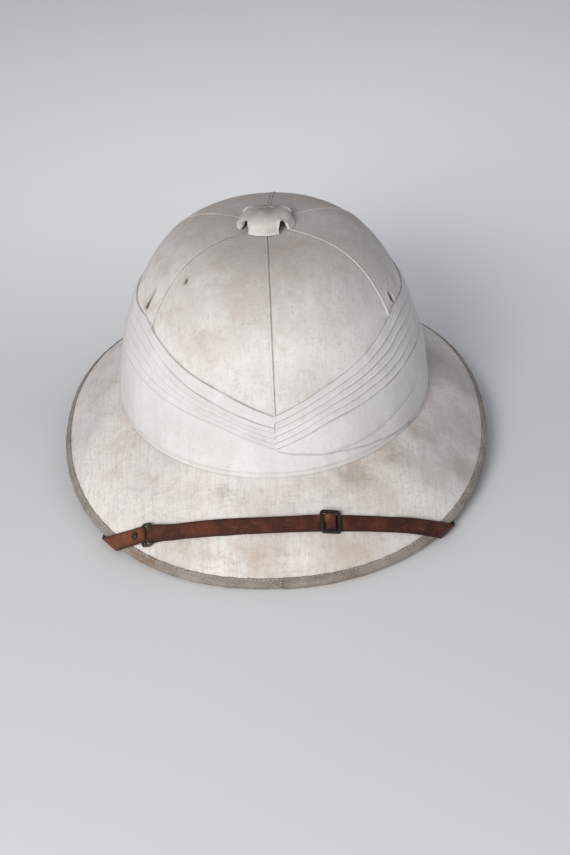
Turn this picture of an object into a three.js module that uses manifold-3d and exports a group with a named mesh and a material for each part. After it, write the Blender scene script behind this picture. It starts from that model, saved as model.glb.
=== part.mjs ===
import * as THREE from 'three';
import { mergeVertices } from 'three/addons/utils/BufferGeometryUtils.js';
import Module from 'manifold-3d';

// Pith helmet standing on its brim. Millimetres and degrees, +Z up, the floor is z = 0.
// The front, where the strap lies, faces -Y.
// A turn is an angle about the upright axis, from the front towards +X.

// Clearances
const PIECE_GAP = 0.3;
const UNDERSIDE_GAP = 0.9;

// Steps for slopes and passes for crossings
const SLOPE_STEP = 0.1;
const TURN_STEP = 0.001;
const RUN_STEP = 0.5;
const SEARCH_PASSES = 40;
const WELD_DISTANCE = 1e-4;

// Crown: an oval dome, with heights measured from its base
const CROWN_BASE_Z = 41;
const CROWN_HALF_WIDTH = 103.4;
const CROWN_HALF_LENGTH = 117.2;
const CROWN_HEIGHT = 116.9;
const CROWN_SPAN_POWER = 0.505;
const CROWN_RISE_POWER = 1.4;
const CROWN_LEAN_X = 0.4;
const CROWN_LEAN_Y = -2.8;
const CROWN_WALL = 6;
const CROWN_SETBACK = 2.5;
const CROWN_DOME_ROWS = 9;
const CROWN_INNER_ROWS = 7;
const VENT_HOLE_RADIUS = 7;

// Panel seams: raised ribs from the wrapped cloth to the vent
const SEAM_COUNT = 6;
const SEAM_HALF_WIDTH = 1.2;
const SEAM_HEIGHT = 0.9;
const SEAM_START = 2;
const SEAM_TAPER_RADIUS = 30;
const COLUMNS_BETWEEN_SEAMS = 6;

// Tears in the crown's cover
const TEAR_DEPTH = 2.2;
const TEAR_SIDES = 8;
const TEAR_ROWS = 6;
const TEARS = [
  { turn: -66, height: 83.5, length: 13, width: 3 },
  { turn: 64.6, height: 78.5, length: 7, width: 2.4 },
  { turn: -47.4, height: 103, length: 4, width: 1.8 },
];

// Wrapped cloth: one quarter of its run, from the point of the V to the side
const WRAP_ROWS = [
  { turn: 0, top: 40, foot: 19.5 },
  { turn: 9, top: 47, foot: 26.3 },
  { turn: 18, top: 54, foot: 33 },
  { turn: 32, top: 60.7, foot: 36.6 },
  { turn: 46, top: 68, foot: 39.4 },
  { turn: 62, top: 75, foot: 42 },
  { turn: 90, top: 71, foot: 41 },
];
const PLEAT_COUNT = 5;
const PLEAT_CREST = 0.6;
const PLEAT_CREASE = -0.6;
const PLEAT_CREST_FROM = 0.25;
const PLEAT_CREST_TO = 0.75;
const WRAP_TOP_STAND = 1;
const WRAP_FOOT_STAND = 1.7;
const WRAP_BASE_STAND = 2;
const LAP_STEP = 0.9;
const LAP_START_HEIGHT = 17;
const LAP_END_TURN = 57;
const LAP_FADE_FROM_TURN = 100;
const LAP_FADE_TO_TURN = 170;
const LAP_EDGE_HEIGHT = 0.6;

// Brim: heights of its middle surface are measured down from the crown's base
const BRIM_HALF_WIDTH = 142.4;
const BRIM_HALF_LENGTH = 175.5;
const BRIM_SQUARENESS = 2.22;
const BRIM_SIDE_DROP = 28.5;
const BRIM_END_DROP = 37.9;
const BRIM_ARCH_POWER = 1.6;
const BRIM_BULGE = 4;
const BRIM_WALL = 4.5;
const BRIM_TIP = 1.5;
const BRIM_ROWS = 5;

// Edge binding: tape folded over the brim's edge, flattened where it meets the floor
const BINDING_LEG = 3.2;
const BINDING_THICK = 1;
const BINDING_FOOT_HALF = 1.44;
const BINDING_FOOT_DROP = 3.08;
const BINDING_FLAT_RISE = 0.95;

// Vent cap: a domed shell with an arch between each pair of legs
const CAP_SEAT = 0.5;
const CAP_SIDES = 24;
const CAP_WALL = 1.3;
const CAP_OUTLINE = [
  { radius: 18.8, height: 0 },
  { radius: 18.4, height: 0.9 },
  { radius: 17.1, height: 2.4 },
  { radius: 16.2, height: 4.2 },
  { radius: 14, height: 5.9 },
  { radius: 9.5, height: 7.4 },
  { radius: 0, height: 8.2 },
];
const ARCH_COUNT = 4;
const ARCH_WIDTH = 7.6;
const ARCH_HEIGHT = 5.2;
const ARCH_FROM_RADIUS = 9;
const ARCH_TO_RADIUS = 24;
const ARCH_BELOW = 1;
const ARCH_SEGMENTS = 4;

// Chin strap: its line across the brim is y = front + bow x^2 - skew x
const STRAP_WIDTH = 10.3;
const STRAP_THICK = 1.4;
const STRAP_FRONT_Y = -147.3;
const STRAP_BOW = 0.00125;
const STRAP_SKEW = 0.012;
const STRAP_LIFT = 0.4;
const STRAP_EDGE_REACH = 11;
const STRAP_SETTLED_REACH = 16;
const STRAP_STEP = 11;
const STRAP_TOP_SHIFT = -0.8;
const STRAP_END_MARGIN = 14;
const WRAP_STEPS = 6;
const UNDERSIDE_STEPS = 7;
const FOLD_STEPS = 8;
const STRAP_EDGE_MARGIN = 9;
const LOWER_FOLD_MARGIN = 3;
const UPPER_FOLD_MARGIN = 4;
const STRAP_SETTLE_LENGTH = 14;
const SHIFT_FADE_FROM = 30;
const SHIFT_FADE_TO = 8;
const BUCKLE_ENTRY = 5.2;
const TAB_FOLD_SHARE = 0.75;

// Ring, stud, slide buckle and rivets on the strap
const RING_X = -80;
const RING_WIRE_RADIUS = 0.9;
const RING_BAR_SPACING = 6;
const RING_CORNER = 1.8;
const RING_STRAIGHT = 10.2;
const RING_SIDES = 16;
const RING_WIRE_SIDES = 8;
const STUD_X = -86.6;
const STUD_SIDES = 12;
const STUD_OUTLINE = [
  { radius: 0, height: 0 },
  { radius: 2.4, height: 0 },
  { radius: 2.28, height: 0.76 },
  { radius: 1.44, height: 1.44 },
  { radius: 0, height: 1.7 },
];
const BUCKLE_X = 30.2;
const BUCKLE_LENGTH = 13.2;
const BUCKLE_WIDTH = 14.8;
const BUCKLE_BAR = 2.6;
const BUCKLE_SIDE_BAR = 1.95;
const BUCKLE_CORNER = 1.8;
const BUCKLE_CORNER_SEGMENTS = 3;
const BUCKLE_THICK = 1.8;
const BUCKLE_PIN_WIDTH = 1.6;
const BUCKLE_PIN_THICK = 1;
const BUCKLE_PIN_SEAT = 1.3;
const RIVET_RADIUS = 4;
const RIVET_HEIGHT = 2;
const RIVET_END_MARGIN = 5;
const RIVET_SIDES = 12;

const COLOURS = {
  cloth: { color: 0xe4e1da, roughness: 0.9, metalness: 0 },
  tape: { color: 0xa89e92, roughness: 0.9, metalness: 0 },
  leather: { color: 0x5a2c20, roughness: 0.55, metalness: 0 },
  metal: { color: 0x1c1916, roughness: 0.5, metalness: 0.6 },
};

const wasm = await Module();
wasm.setup();

const { degToRad, lerp, smoothstep } = THREE.MathUtils;

function indexedGeometry(points, index) {
  const geometry = new THREE.BufferGeometry();
  const positions = points.flatMap((p) => [p.x, p.y, p.z]);
  geometry.setAttribute('position', new THREE.Float32BufferAttribute(positions, 3));
  geometry.setIndex(index);
  geometry.computeVertexNormals();
  return geometry;
}

// Side walls between neighbouring sections, each a loop of the same number of points
function sideWalls(sections, closed) {
  const rows = sections[0].length;
  const spans = closed ? sections.length : sections.length - 1;
  const index = [];
  for (let here = 0; here < spans; here += 1) {
    const next = (here + 1) % sections.length;
    for (let row = 0; row < rows; row += 1) {
      const above = (row + 1) % rows;
      const [a, b] = [here * rows + row, next * rows + row];
      const [c, d] = [next * rows + above, here * rows + above];
      index.push(a, b, c, a, c, d);
    }
  }
  return index;
}

// A ring round the upright axis: each section runs up its outside and down its inside
function ringSolid(sections) {
  return indexedGeometry(sections.flat(), sideWalls(sections, true));
}

// A flat band along stations, each a point on its middle line and the way its face looks.
// Where it folds over an edge askew, its section lies along the rule of the fold.
function bandSolid(stations, width, thick) {
  const sections = stations.map(({ point, face, rule }, i) => {
    const before = stations[Math.max(i - 1, 0)].point;
    const after = stations[Math.min(i + 1, stations.length - 1)].point;
    const tangent = after.clone().sub(before).normalize();
    const square = tangent.clone().cross(face).normalize();
    const across = rule ?? square;
    const half = width / 2 / across.dot(square);
    const outward = square.clone().cross(tangent);
    const corner = (a, f) => point.clone()
      .addScaledVector(across, a * half)
      .addScaledVector(outward, f * thick / 2);
    return [corner(-1, -1), corner(1, -1), corner(1, 1), corner(-1, 1)];
  });
  const index = sideWalls(sections, false);
  const last = 4 * (sections.length - 1);
  index.push(0, 1, 2, 0, 2, 3);
  index.push(last, last + 2, last + 1, last, last + 3, last + 2);
  return indexedGeometry(sections.flat(), index);
}

function toSolid(geometry) {
  const bare = geometry.clone();
  bare.deleteAttribute('normal');
  bare.deleteAttribute('uv');
  const merged = mergeVertices(bare, WELD_DISTANCE);
  const vertProperties = new Float32Array(merged.attributes.position.array);
  const triVerts = new Uint32Array(merged.index.array);
  return new wasm.Manifold(new wasm.Mesh({ numProp: 3, vertProperties, triVerts }));
}

function fromSolid(solid) {
  const mesh = solid.getMesh();
  const points = [];
  for (let i = 0; i < mesh.vertProperties.length; i += mesh.numProp) {
    points.push(new THREE.Vector3().fromArray(mesh.vertProperties, i));
  }
  return indexedGeometry(points, Array.from(mesh.triVerts));
}

// Distance from the axis to an oval in the direction of a turn
function ovalRadius(turn, halfWidth, halfLength, squareness = 2) {
  const across = Math.abs(Math.sin(turn) / halfWidth) ** squareness;
  const along = Math.abs(Math.cos(turn) / halfLength) ** squareness;
  return (across + along) ** (-1 / squareness);
}

function around(turn, radius, z) {
  return new THREE.Vector3(radius * Math.sin(turn), -radius * Math.cos(turn), z);
}

// Dome profile by its rise angle: the share of the base oval, and of the height
const domeSpan = (rise) => Math.cos(rise) ** CROWN_SPAN_POWER;
const domeHeight = (rise) => Math.sin(rise) ** CROWN_RISE_POWER;
const riseAt = (share) => Math.asin(share ** (1 / CROWN_RISE_POWER));

function crownRadius(turn, height, inset = 0) {
  const base = ovalRadius(turn, CROWN_HALF_WIDTH - inset, CROWN_HALF_LENGTH - inset);
  return base * domeSpan(riseAt(height / (CROWN_HEIGHT - inset)));
}

// A seam's columns keep their width up the dome, so their turn depends on the radius
function columnTurn(column, radius) {
  return column.turn + column.shift / Math.max(radius, SEAM_TAPER_RADIUS);
}

function crownPoint(column, radius, height) {
  const point = around(columnTurn(column, radius), radius, CROWN_BASE_Z + height);
  const lean = (height / CROWN_HEIGHT) ** 2;
  return point.add(new THREE.Vector3(CROWN_LEAN_X * lean, CROWN_LEAN_Y * lean, 0));
}

// Height of the wrapped cloth's top edge or of the pleats' foot
function wrapLevel(turn, edge) {
  const quarter = THREE.MathUtils.radToDeg(Math.acos(Math.abs(Math.cos(turn))));
  const upper = Math.max(WRAP_ROWS.findIndex((row) => row.turn >= quarter), 1);
  const [from, to] = [WRAP_ROWS[upper - 1], WRAP_ROWS[upper]];
  return lerp(from[edge], to[edge], (quarter - from.turn) / (to.turn - from.turn));
}

// The crown's wall is set back under the wrapped cloth
function seatRadius(turn, height) {
  const share = Math.max(1 - height / wrapLevel(turn, 'top'), 0);
  return crownRadius(turn, height) - CROWN_SETBACK * share;
}

function seamTurn(seam) {
  const angle = 2 * Math.PI * seam / SEAM_COUNT;
  const turn = Math.atan2(CROWN_HALF_WIDTH * Math.sin(angle), CROWN_HALF_LENGTH * Math.cos(angle));
  return turn < 0 ? turn + 2 * Math.PI : turn;
}

// Columns round the helmet: three on each seam, and plain ones between the seams
function makeColumns() {
  const columns = [];
  for (let seam = 0; seam < SEAM_COUNT; seam += 1) {
    const start = seamTurn(seam);
    const end = seamTurn(seam + 1);
    for (const side of [-1, 0, 1]) {
      columns.push({ turn: start, shift: side * SEAM_HALF_WIDTH, crest: side === 0 });
    }
    for (let step = 1; step <= COLUMNS_BETWEEN_SEAMS; step += 1) {
      const turn = lerp(start, end, step / (COLUMNS_BETWEEN_SEAMS + 1));
      columns.push({ turn, shift: 0, crest: false });
    }
  }
  return columns;
}

const COLUMNS = makeColumns();
const PLAIN_COLUMNS = COLUMNS.filter((column) => column.shift === 0);

function crownSection(column) {
  const { turn } = column;
  const foot = wrapLevel(turn, 'foot');
  const top = wrapLevel(turn, 'top');
  const section = [0, foot / 2, foot, (foot + top) / 2, top + PIECE_GAP]
    .map((height) => crownPoint(column, seatRadius(turn, height), height));
  const domeFrom = riseAt((top + SEAM_START) / CROWN_HEIGHT);
  for (let row = 0; row < CROWN_DOME_ROWS; row += 1) {
    const rise = lerp(domeFrom, Math.PI / 2, row / CROWN_DOME_ROWS);
    const height = CROWN_HEIGHT * domeHeight(rise);
    const rib = column.crest ? SEAM_HEIGHT : 0;
    section.push(crownPoint(column, crownRadius(turn, height) + rib * Math.cos(rise),
      height + rib * Math.sin(rise)));
  }
  section.push(crownPoint(column, VENT_HOLE_RADIUS, CROWN_HEIGHT));
  section.push(crownPoint(column, VENT_HOLE_RADIUS, CROWN_HEIGHT - CROWN_WALL));
  for (let row = 1; row <= CROWN_INNER_ROWS; row += 1) {
    const rise = lerp(Math.PI / 2, 0, row / CROWN_INNER_ROWS);
    const height = (CROWN_HEIGHT - CROWN_WALL) * domeHeight(rise);
    section.push(crownPoint(column, crownRadius(turn, height, CROWN_WALL), height));
  }
  return section;
}

// A lens-shaped cut that stands on the dome's surface, long way up the slope
function tearSolid({ turn, height, length, width }) {
  const column = { turn: degToRad(turn), shift: 0 };
  const centre = crownPoint(column, crownRadius(column.turn, height), height);
  const higher = crownPoint(column, crownRadius(column.turn, height + 1), height + 1);
  const along = higher.sub(centre).normalize();
  const across = new THREE.Vector3(Math.cos(column.turn), Math.sin(column.turn), 0);
  const outward = across.clone().cross(along).normalize();
  const lens = new THREE.SphereGeometry(1, TEAR_SIDES, TEAR_ROWS);
  lens.scale(width / 2, length / 2, TEAR_DEPTH);
  lens.applyMatrix4(new THREE.Matrix4().makeBasis(across, along, outward).setPosition(centre));
  return toSolid(lens);
}

function crownGeometry() {
  const shell = toSolid(ringSolid(COLUMNS.map(crownSection)));
  return fromSolid(TEARS.map(tearSolid).reduce((left, tear) => left.subtract(tear), shell));
}

// Pleats: a crease between neighbours and a rounded crest on each
function pleatSection(column) {
  const { turn } = column;
  const foot = wrapLevel(turn, 'foot');
  const top = wrapLevel(turn, 'top');
  const outside = (share, relief) => {
    const height = lerp(foot, top, share);
    const stand = lerp(WRAP_FOOT_STAND, WRAP_TOP_STAND, share) + relief;
    return crownPoint(column, crownRadius(turn, height) + stand, height);
  };
  const section = [outside(0, 0)];
  for (let pleat = 0; pleat < PLEAT_COUNT; pleat += 1) {
    const last = pleat === PLEAT_COUNT - 1;
    section.push(outside((pleat + PLEAT_CREST_FROM) / PLEAT_COUNT, PLEAT_CREST));
    section.push(outside((pleat + PLEAT_CREST_TO) / PLEAT_COUNT, PLEAT_CREST));
    section.push(outside((pleat + 1) / PLEAT_COUNT, last ? 0 : PLEAT_CREASE));
  }
  for (const height of [top, (foot + top) / 2, foot]) {
    section.push(crownPoint(column, seatRadius(turn, height) + PIECE_GAP, height));
  }
  return section;
}

// The lapped end starts at the V and covers the band towards +X, then fades out at the back
function lapAmount(turn) {
  const fade = smoothstep(turn, degToRad(LAP_FADE_FROM_TURN), degToRad(LAP_FADE_TO_TURN));
  return turn > 0 ? 1 - fade : 0;
}

function bandSection(column) {
  const turn = column.turn + column.shift / CROWN_HALF_LENGTH;
  const level = wrapLevel(column.turn, 'foot');
  const top = level - PIECE_GAP;
  const lap = LAP_STEP * lapAmount(turn);
  const lapShare = THREE.MathUtils.clamp(1 - turn / degToRad(LAP_END_TURN), 0, 1);
  const lapHeight = LAP_START_HEIGHT * lapShare;
  const covered = lapShare > 0 ? 0 : lap;
  const outside = (height, stand) => crownPoint(column, crownRadius(column.turn, height) + stand, height);
  const inside = (height) => crownPoint(column, seatRadius(column.turn, height) + PIECE_GAP, height);
  return [
    outside(0, WRAP_BASE_STAND + covered),
    outside(lapHeight + LAP_EDGE_HEIGHT, WRAP_BASE_STAND + covered),
    outside(lapHeight + 2 * LAP_EDGE_HEIGHT, WRAP_BASE_STAND + lap),
    outside(top, WRAP_FOOT_STAND + lap),
    inside(top),
    inside(level / 2),
    inside(0),
  ];
}

const brimRadius = (turn) => ovalRadius(turn, BRIM_HALF_WIDTH, BRIM_HALF_LENGTH, BRIM_SQUARENESS);
const brimRoot = (turn) => crownRadius(turn, 0) + WRAP_BASE_STAND;
const brimMouth = (turn) => crownRadius(turn, 0, CROWN_WALL);

// Height of the brim's middle surface
function brimHeight(turn, radius) {
  const root = brimRoot(turn);
  const edge = brimRadius(turn);
  const share = Math.max((radius - root) / (edge - root), 0);
  const endwise = (Math.abs(Math.cos(turn)) * edge / BRIM_HALF_LENGTH) ** BRIM_ARCH_POWER;
  const fall = lerp(BRIM_SIDE_DROP, BRIM_END_DROP, endwise) - BRIM_WALL / 2;
  const bulge = 4 * BRIM_BULGE * share * (1 - share);
  return CROWN_BASE_Z - PIECE_GAP - BRIM_WALL / 2 - fall * share + bulge;
}

// The brim's section frame at a radius: its slope outward and its normal
function brimFrame(turn, radius) {
  const slope = (brimHeight(turn, radius) - brimHeight(turn, radius - SLOPE_STEP)) / SLOPE_STEP;
  const out = new THREE.Vector2(1, slope).normalize();
  const middle = new THREE.Vector2(radius, brimHeight(turn, radius));
  return { middle, out, up: new THREE.Vector2(-out.y, out.x) };
}

function brimPoint(turn, radius, upBy, outBy = 0) {
  const { middle, out, up } = brimFrame(turn, radius);
  const place = middle.addScaledVector(up, upBy).addScaledVector(out, outBy);
  return around(turn, place.x, place.y);
}

function brimSection({ turn }) {
  const half = BRIM_WALL / 2;
  const radii = [];
  for (let row = 0; row <= BRIM_ROWS; row += 1) {
    radii.push(lerp(brimRoot(turn), brimRadius(turn), row / BRIM_ROWS));
  }
  const land = (upBy) => around(turn, brimMouth(turn), CROWN_BASE_Z - PIECE_GAP - half + upBy);
  return [
    land(-half),
    ...radii.map((radius) => brimPoint(turn, radius, -half)),
    brimPoint(turn, brimRadius(turn), 0, BRIM_TIP),
    ...radii.reverse().map((radius) => brimPoint(turn, radius, half)),
    land(half),
  ];
}

function bindingSection({ turn }) {
  const edge = brimRadius(turn);
  const inner = BRIM_WALL / 2 + PIECE_GAP;
  const outer = inner + BINDING_THICK;
  const tip = BRIM_TIP + PIECE_GAP;
  const centre = brimFrame(turn, edge).middle;
  const lowest = centre.y - BINDING_FOOT_DROP;
  const footZ = lowest < BINDING_FLAT_RISE ? 0 : lowest;
  return [
    brimPoint(turn, edge - BINDING_LEG, -outer),
    around(turn, centre.x - BINDING_FOOT_HALF, footZ),
    around(turn, centre.x + BINDING_FOOT_HALF, footZ),
    brimPoint(turn, edge, 0, tip + BINDING_THICK),
    brimPoint(turn, edge, outer * Math.SQRT1_2, outer * Math.SQRT1_2),
    brimPoint(turn, edge, outer),
    brimPoint(turn, edge - BINDING_LEG, outer),
    brimPoint(turn, edge - BINDING_LEG, inner),
    brimPoint(turn, edge, inner),
    brimPoint(turn, edge, 0, tip),
    brimPoint(turn, edge, -inner),
    brimPoint(turn, edge - BINDING_LEG, -inner),
  ];
}

function archCut(number) {
  const half = ARCH_WIDTH / 2;
  const outline = new THREE.Shape();
  outline.moveTo(-half, -ARCH_BELOW);
  outline.lineTo(half, -ARCH_BELOW);
  outline.absarc(0, ARCH_HEIGHT - half, half, 0, Math.PI, false);
  outline.closePath();
  const depth = ARCH_TO_RADIUS - ARCH_FROM_RADIUS;
  const options = { depth, bevelEnabled: false, curveSegments: ARCH_SEGMENTS };
  const cut = new THREE.ExtrudeGeometry(outline, options);
  cut.translate(0, 0, ARCH_FROM_RADIUS);
  cut.rotateX(Math.PI / 2);
  cut.rotateZ(2 * Math.PI * (number + 0.5) / ARCH_COUNT);
  return toSolid(cut);
}

function capGeometry() {
  const outside = CAP_OUTLINE.map(({ radius, height }) => new THREE.Vector2(radius, height));
  const inside = CAP_OUTLINE.map(({ radius, height }) => (
    new THREE.Vector2(Math.max(radius - CAP_WALL, 0), Math.max(height - CAP_WALL, 0))));
  const shell = new THREE.LatheGeometry([...inside.reverse(), ...outside], CAP_SIDES);
  shell.rotateX(Math.PI / 2);
  const arches = Array.from({ length: ARCH_COUNT }, (_, number) => archCut(number));
  return fromSolid(arches.reduce((left, arch) => left.subtract(arch), toSolid(shell)));
}

const strapY = (x) => STRAP_FRONT_Y + STRAP_BOW * x * x - STRAP_SKEW * x;
const planTurn = (x, y) => Math.atan2(x, -y);
const brimHeightAt = (x, y) => brimHeight(planTurn(x, y), Math.hypot(x, y));

// Middle of the brim over a plan point, with its upward normal
function brimSurface(x, y) {
  const step = SLOPE_STEP;
  const slopeX = (brimHeightAt(x + step, y) - brimHeightAt(x - step, y)) / (2 * step);
  const slopeY = (brimHeightAt(x, y + step) - brimHeightAt(x, y - step)) / (2 * step);
  return {
    point: new THREE.Vector3(x, y, brimHeightAt(x, y)),
    normal: new THREE.Vector3(-slopeX, -slopeY, 1).normalize(),
  };
}

// The brim's edge at a turn: its middle point and the ways out, up and along it
function edgeFrame(turn) {
  const onEdge = (t) => around(t, brimRadius(t), brimHeight(t, brimRadius(t)));
  const along = onEdge(turn + TURN_STEP).sub(onEdge(turn - TURN_STEP)).normalize();
  const { out } = brimFrame(turn, brimRadius(turn));
  const slope = around(turn, out.x, out.y);
  const up = slope.clone().cross(along).normalize();
  return { centre: onEdge(turn), up, along, out: along.clone().cross(up).normalize() };
}

// Where the strap's line meets the brim's edge, on the side of +X or -X
function strapCrossing(side) {
  let [near, far] = [0, BRIM_HALF_WIDTH];
  for (let pass = 0; pass < SEARCH_PASSES; pass += 1) {
    const x = side * (near + far) / 2;
    const inside = Math.hypot(x, strapY(x)) < brimRadius(planTurn(x, strapY(x)));
    [near, far] = inside ? [Math.abs(x), far] : [near, Math.abs(x)];
  }
  return side * near;
}

// The strap stands clear of the brim by more where it passes over the binding
function strapLift(turn, radius, settled) {
  const reach = brimRadius(turn) - radius;
  const proud = BINDING_THICK + 2 * PIECE_GAP;
  return lerp(proud, settled, smoothstep(reach, STRAP_EDGE_REACH, STRAP_SETTLED_REACH));
}

const STRAP_EDGE_RADIUS = BRIM_WALL / 2 + BINDING_THICK + 2 * PIECE_GAP + STRAP_THICK / 2;

// The strap's way along a surface, over its line in plan
function strapRun(x, normal) {
  const plan = new THREE.Vector3(1, 2 * STRAP_BOW * x - STRAP_SKEW, 0);
  return plan.setZ(-plan.dot(normal) / normal.z).normalize();
}

// The hidden stretch at one side: round the edge, then back under the brim to the crown's mouth
function strapTail(side) {
  const stations = [];
  const x = strapCrossing(side);
  const start = planTurn(x, strapY(x));
  const first = edgeFrame(start);
  const heading = strapRun(x, first.up).multiplyScalar(side);
  const advance = heading.dot(first.along) / heading.dot(first.out);
  const wrapTurn = (angle) => start + advance * STRAP_EDGE_RADIUS * angle / brimRadius(start);
  for (let step = 0; step <= WRAP_STEPS; step += 1) {
    const angle = Math.PI * step / WRAP_STEPS;
    const { centre, out, up, along } = edgeFrame(wrapTurn(angle));
    const face = out.multiplyScalar(Math.sin(angle)).addScaledVector(up, Math.cos(angle));
    stations.push({ point: centre.addScaledVector(face, STRAP_EDGE_RADIUS), face, rule: along });
  }
  const { centre, along, out } = edgeFrame(wrapTurn(Math.PI));
  const course = out.negate().addScaledVector(along, advance).setZ(0).normalize();
  const onCourse = (length) => centre.clone().addScaledVector(course, length);
  const turnOf = (point) => planTurn(point.x, point.y);
  const inMouth = (point) => Math.hypot(point.x, point.y) < brimMouth(turnOf(point));
  let [length, past] = [0, BRIM_HALF_WIDTH];
  for (let pass = 0; pass < SEARCH_PASSES; pass += 1) {
    const middle = (length + past) / 2;
    [length, past] = inMouth(onCourse(middle)) ? [length, middle] : [middle, past];
  }
  for (let step = 1; step <= UNDERSIDE_STEPS; step += 1) {
    const place = onCourse((length - STRAP_END_MARGIN) * step / UNDERSIDE_STEPS);
    const { point, normal } = brimSurface(place.x, place.y);
    const lift = strapLift(turnOf(place), Math.hypot(place.x, place.y), UNDERSIDE_GAP);
    const face = normal.negate();
    stations.push({ point: point.addScaledVector(face, BRIM_WALL / 2 + lift + STRAP_THICK / 2), face });
  }
  return stations;
}

// A point on the strap's line: its run x, its middle height over the brim and the way it faces
function strapStation(x, height, faceRun, faceUp, shift = 0) {
  const { point, normal } = brimSurface(x, strapY(x));
  const run = strapRun(x, normal);
  const across = normal.clone().cross(run);
  point.addScaledVector(normal, BRIM_WALL / 2 + height).addScaledVector(across, shift);
  return { point, face: run.multiplyScalar(faceRun).addScaledVector(normal, faceUp) };
}

const LOWER_HEIGHT = STRAP_LIFT + STRAP_THICK / 2;
const UPPER_HEIGHT = LOWER_HEIGHT + STRAP_THICK + STRAP_LIFT;
const FOLD_RADIUS = RING_WIRE_RADIUS + PIECE_GAP + STRAP_THICK / 2;
const BAR_HEIGHT = LOWER_HEIGHT + FOLD_RADIUS;

// A fold round a bar of the ring, from the angle where it starts
function foldStations(barX, from, sweep, inwards) {
  return Array.from({ length: FOLD_STEPS + 1 }, (_, step) => {
    const angle = from + sweep * step / FOLD_STEPS;
    const [run, up] = [Math.cos(angle), Math.sin(angle)];
    const x = barX + FOLD_RADIUS * run;
    return strapStation(x, BAR_HEIGHT + FOLD_RADIUS * up, inwards * run, inwards * up);
  });
}

// The strap's end rises through the buckle's window and over its pin
const BUCKLE_TONGUE = [
  { x: -3.5, height: UPPER_HEIGHT },
  { x: -1.7, height: 4.7 },
  { x: 0, height: 5.2 },
  { x: 1.6, height: 4.9 },
  { x: 2.6, height: 4.4 },
];
const RIGHT_BAR_X = RING_X + RING_BAR_SPACING / 2;
const LEFT_BAR_X = RING_X - RING_BAR_SPACING / 2;

function spread(from, to) {
  const count = Math.ceil(Math.abs(to - from) / STRAP_STEP);
  return Array.from({ length: count + 1 }, (_, step) => lerp(from, to, step / count));
}

// The long strap: from the right rivet, along the front, round the ring and back to the buckle
function chinStrapStations() {
  const crossing = strapCrossing(1);
  const lower = spread(crossing - STRAP_EDGE_MARGIN, RIGHT_BAR_X + LOWER_FOLD_MARGIN).map((x) => {
    const lift = strapLift(planTurn(x, strapY(x)), Math.hypot(x, strapY(x)), STRAP_LIFT);
    return strapStation(x, lift + STRAP_THICK / 2, 0, 1);
  });
  const fold = foldStations(RIGHT_BAR_X, -Math.PI / 2, -Math.PI, -1);
  const foldTop = BAR_HEIGHT + FOLD_RADIUS;
  const upper = spread(RIGHT_BAR_X + UPPER_FOLD_MARGIN, BUCKLE_X - BUCKLE_ENTRY).map((x) => {
    const settle = smoothstep(x, RIGHT_BAR_X, RIGHT_BAR_X + STRAP_SETTLE_LENGTH);
    const back = smoothstep(x, BUCKLE_X - SHIFT_FADE_FROM, BUCKLE_X - SHIFT_FADE_TO);
    const shift = STRAP_TOP_SHIFT * settle * (1 - back);
    return strapStation(x, lerp(foldTop, UPPER_HEIGHT, settle), 0, -1, shift);
  });
  const end = BUCKLE_TONGUE.map(({ x, height }) => strapStation(BUCKLE_X + x, height, 0, -1));
  return [...strapTail(1).reverse(), ...lower, ...fold, ...upper, ...end];
}

const TAB_TOP = [
  { x: -95, height: 2.5 },
  { x: -89.3, height: 3.15 },
  { x: STUD_X, height: 4 },
];

// The short piece: from the left rivet, over the edge and round the ring
function tabStations() {
  const upper = TAB_TOP.map(({ x, height }) => strapStation(x, height, 0, 1));
  const fold = foldStations(LEFT_BAR_X, Math.PI / 2, -TAB_FOLD_SHARE * Math.PI, 1);
  return [...strapTail(-1).reverse(), ...upper, ...fold];
}

function roundedRectangle(path, length, width, corner) {
  const [x, y] = [length / 2 - corner, width / 2 - corner];
  path.absarc(x, y, corner, 0, Math.PI / 2, false);
  path.absarc(-x, y, corner, Math.PI / 2, Math.PI, false);
  path.absarc(-x, -y, corner, Math.PI, 1.5 * Math.PI, false);
  path.absarc(x, -y, corner, 1.5 * Math.PI, 2 * Math.PI, false);
  path.closePath();
  return path;
}

function buckleGeometry() {
  const outline = roundedRectangle(new THREE.Shape(), BUCKLE_LENGTH, BUCKLE_WIDTH, BUCKLE_CORNER);
  const windowLength = BUCKLE_LENGTH - 2 * BUCKLE_BAR;
  const windowWidth = BUCKLE_WIDTH - 2 * BUCKLE_SIDE_BAR;
  outline.holes.push(roundedRectangle(new THREE.Path(), windowLength, windowWidth, BUCKLE_CORNER / 2));
  const options = { depth: BUCKLE_THICK, bevelEnabled: false, curveSegments: BUCKLE_CORNER_SEGMENTS };
  const frame = new THREE.ExtrudeGeometry(outline, options);
  const pin = new THREE.BoxGeometry(BUCKLE_PIN_WIDTH, windowWidth + BUCKLE_PIN_SEAT, BUCKLE_PIN_THICK);
  pin.translate(0, 0, BUCKLE_PIN_THICK / 2);
  return fromSolid(toSolid(frame).add(toSolid(pin)));
}

function ringGeometry() {
  const loop = new THREE.TorusGeometry(RING_CORNER, RING_WIRE_RADIUS, RING_WIRE_SIDES, RING_SIDES);
  const spare = RING_BAR_SPACING / 2 - RING_CORNER;
  loop.rotateZ(Math.PI / RING_SIDES);
  const position = loop.attributes.position;
  for (let i = 0; i < position.count; i += 1) {
    position.setX(i, position.getX(i) + Math.sign(position.getX(i)) * spare);
    position.setY(i, position.getY(i) + Math.sign(position.getY(i)) * RING_STRAIGHT / 2);
  }
  loop.computeVertexNormals();
  return loop;
}

function studGeometry() {
  const outline = STUD_OUTLINE.map(({ radius, height }) => new THREE.Vector2(radius, height));
  return new THREE.LatheGeometry(outline, STUD_SIDES).rotateX(Math.PI / 2);
}

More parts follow.
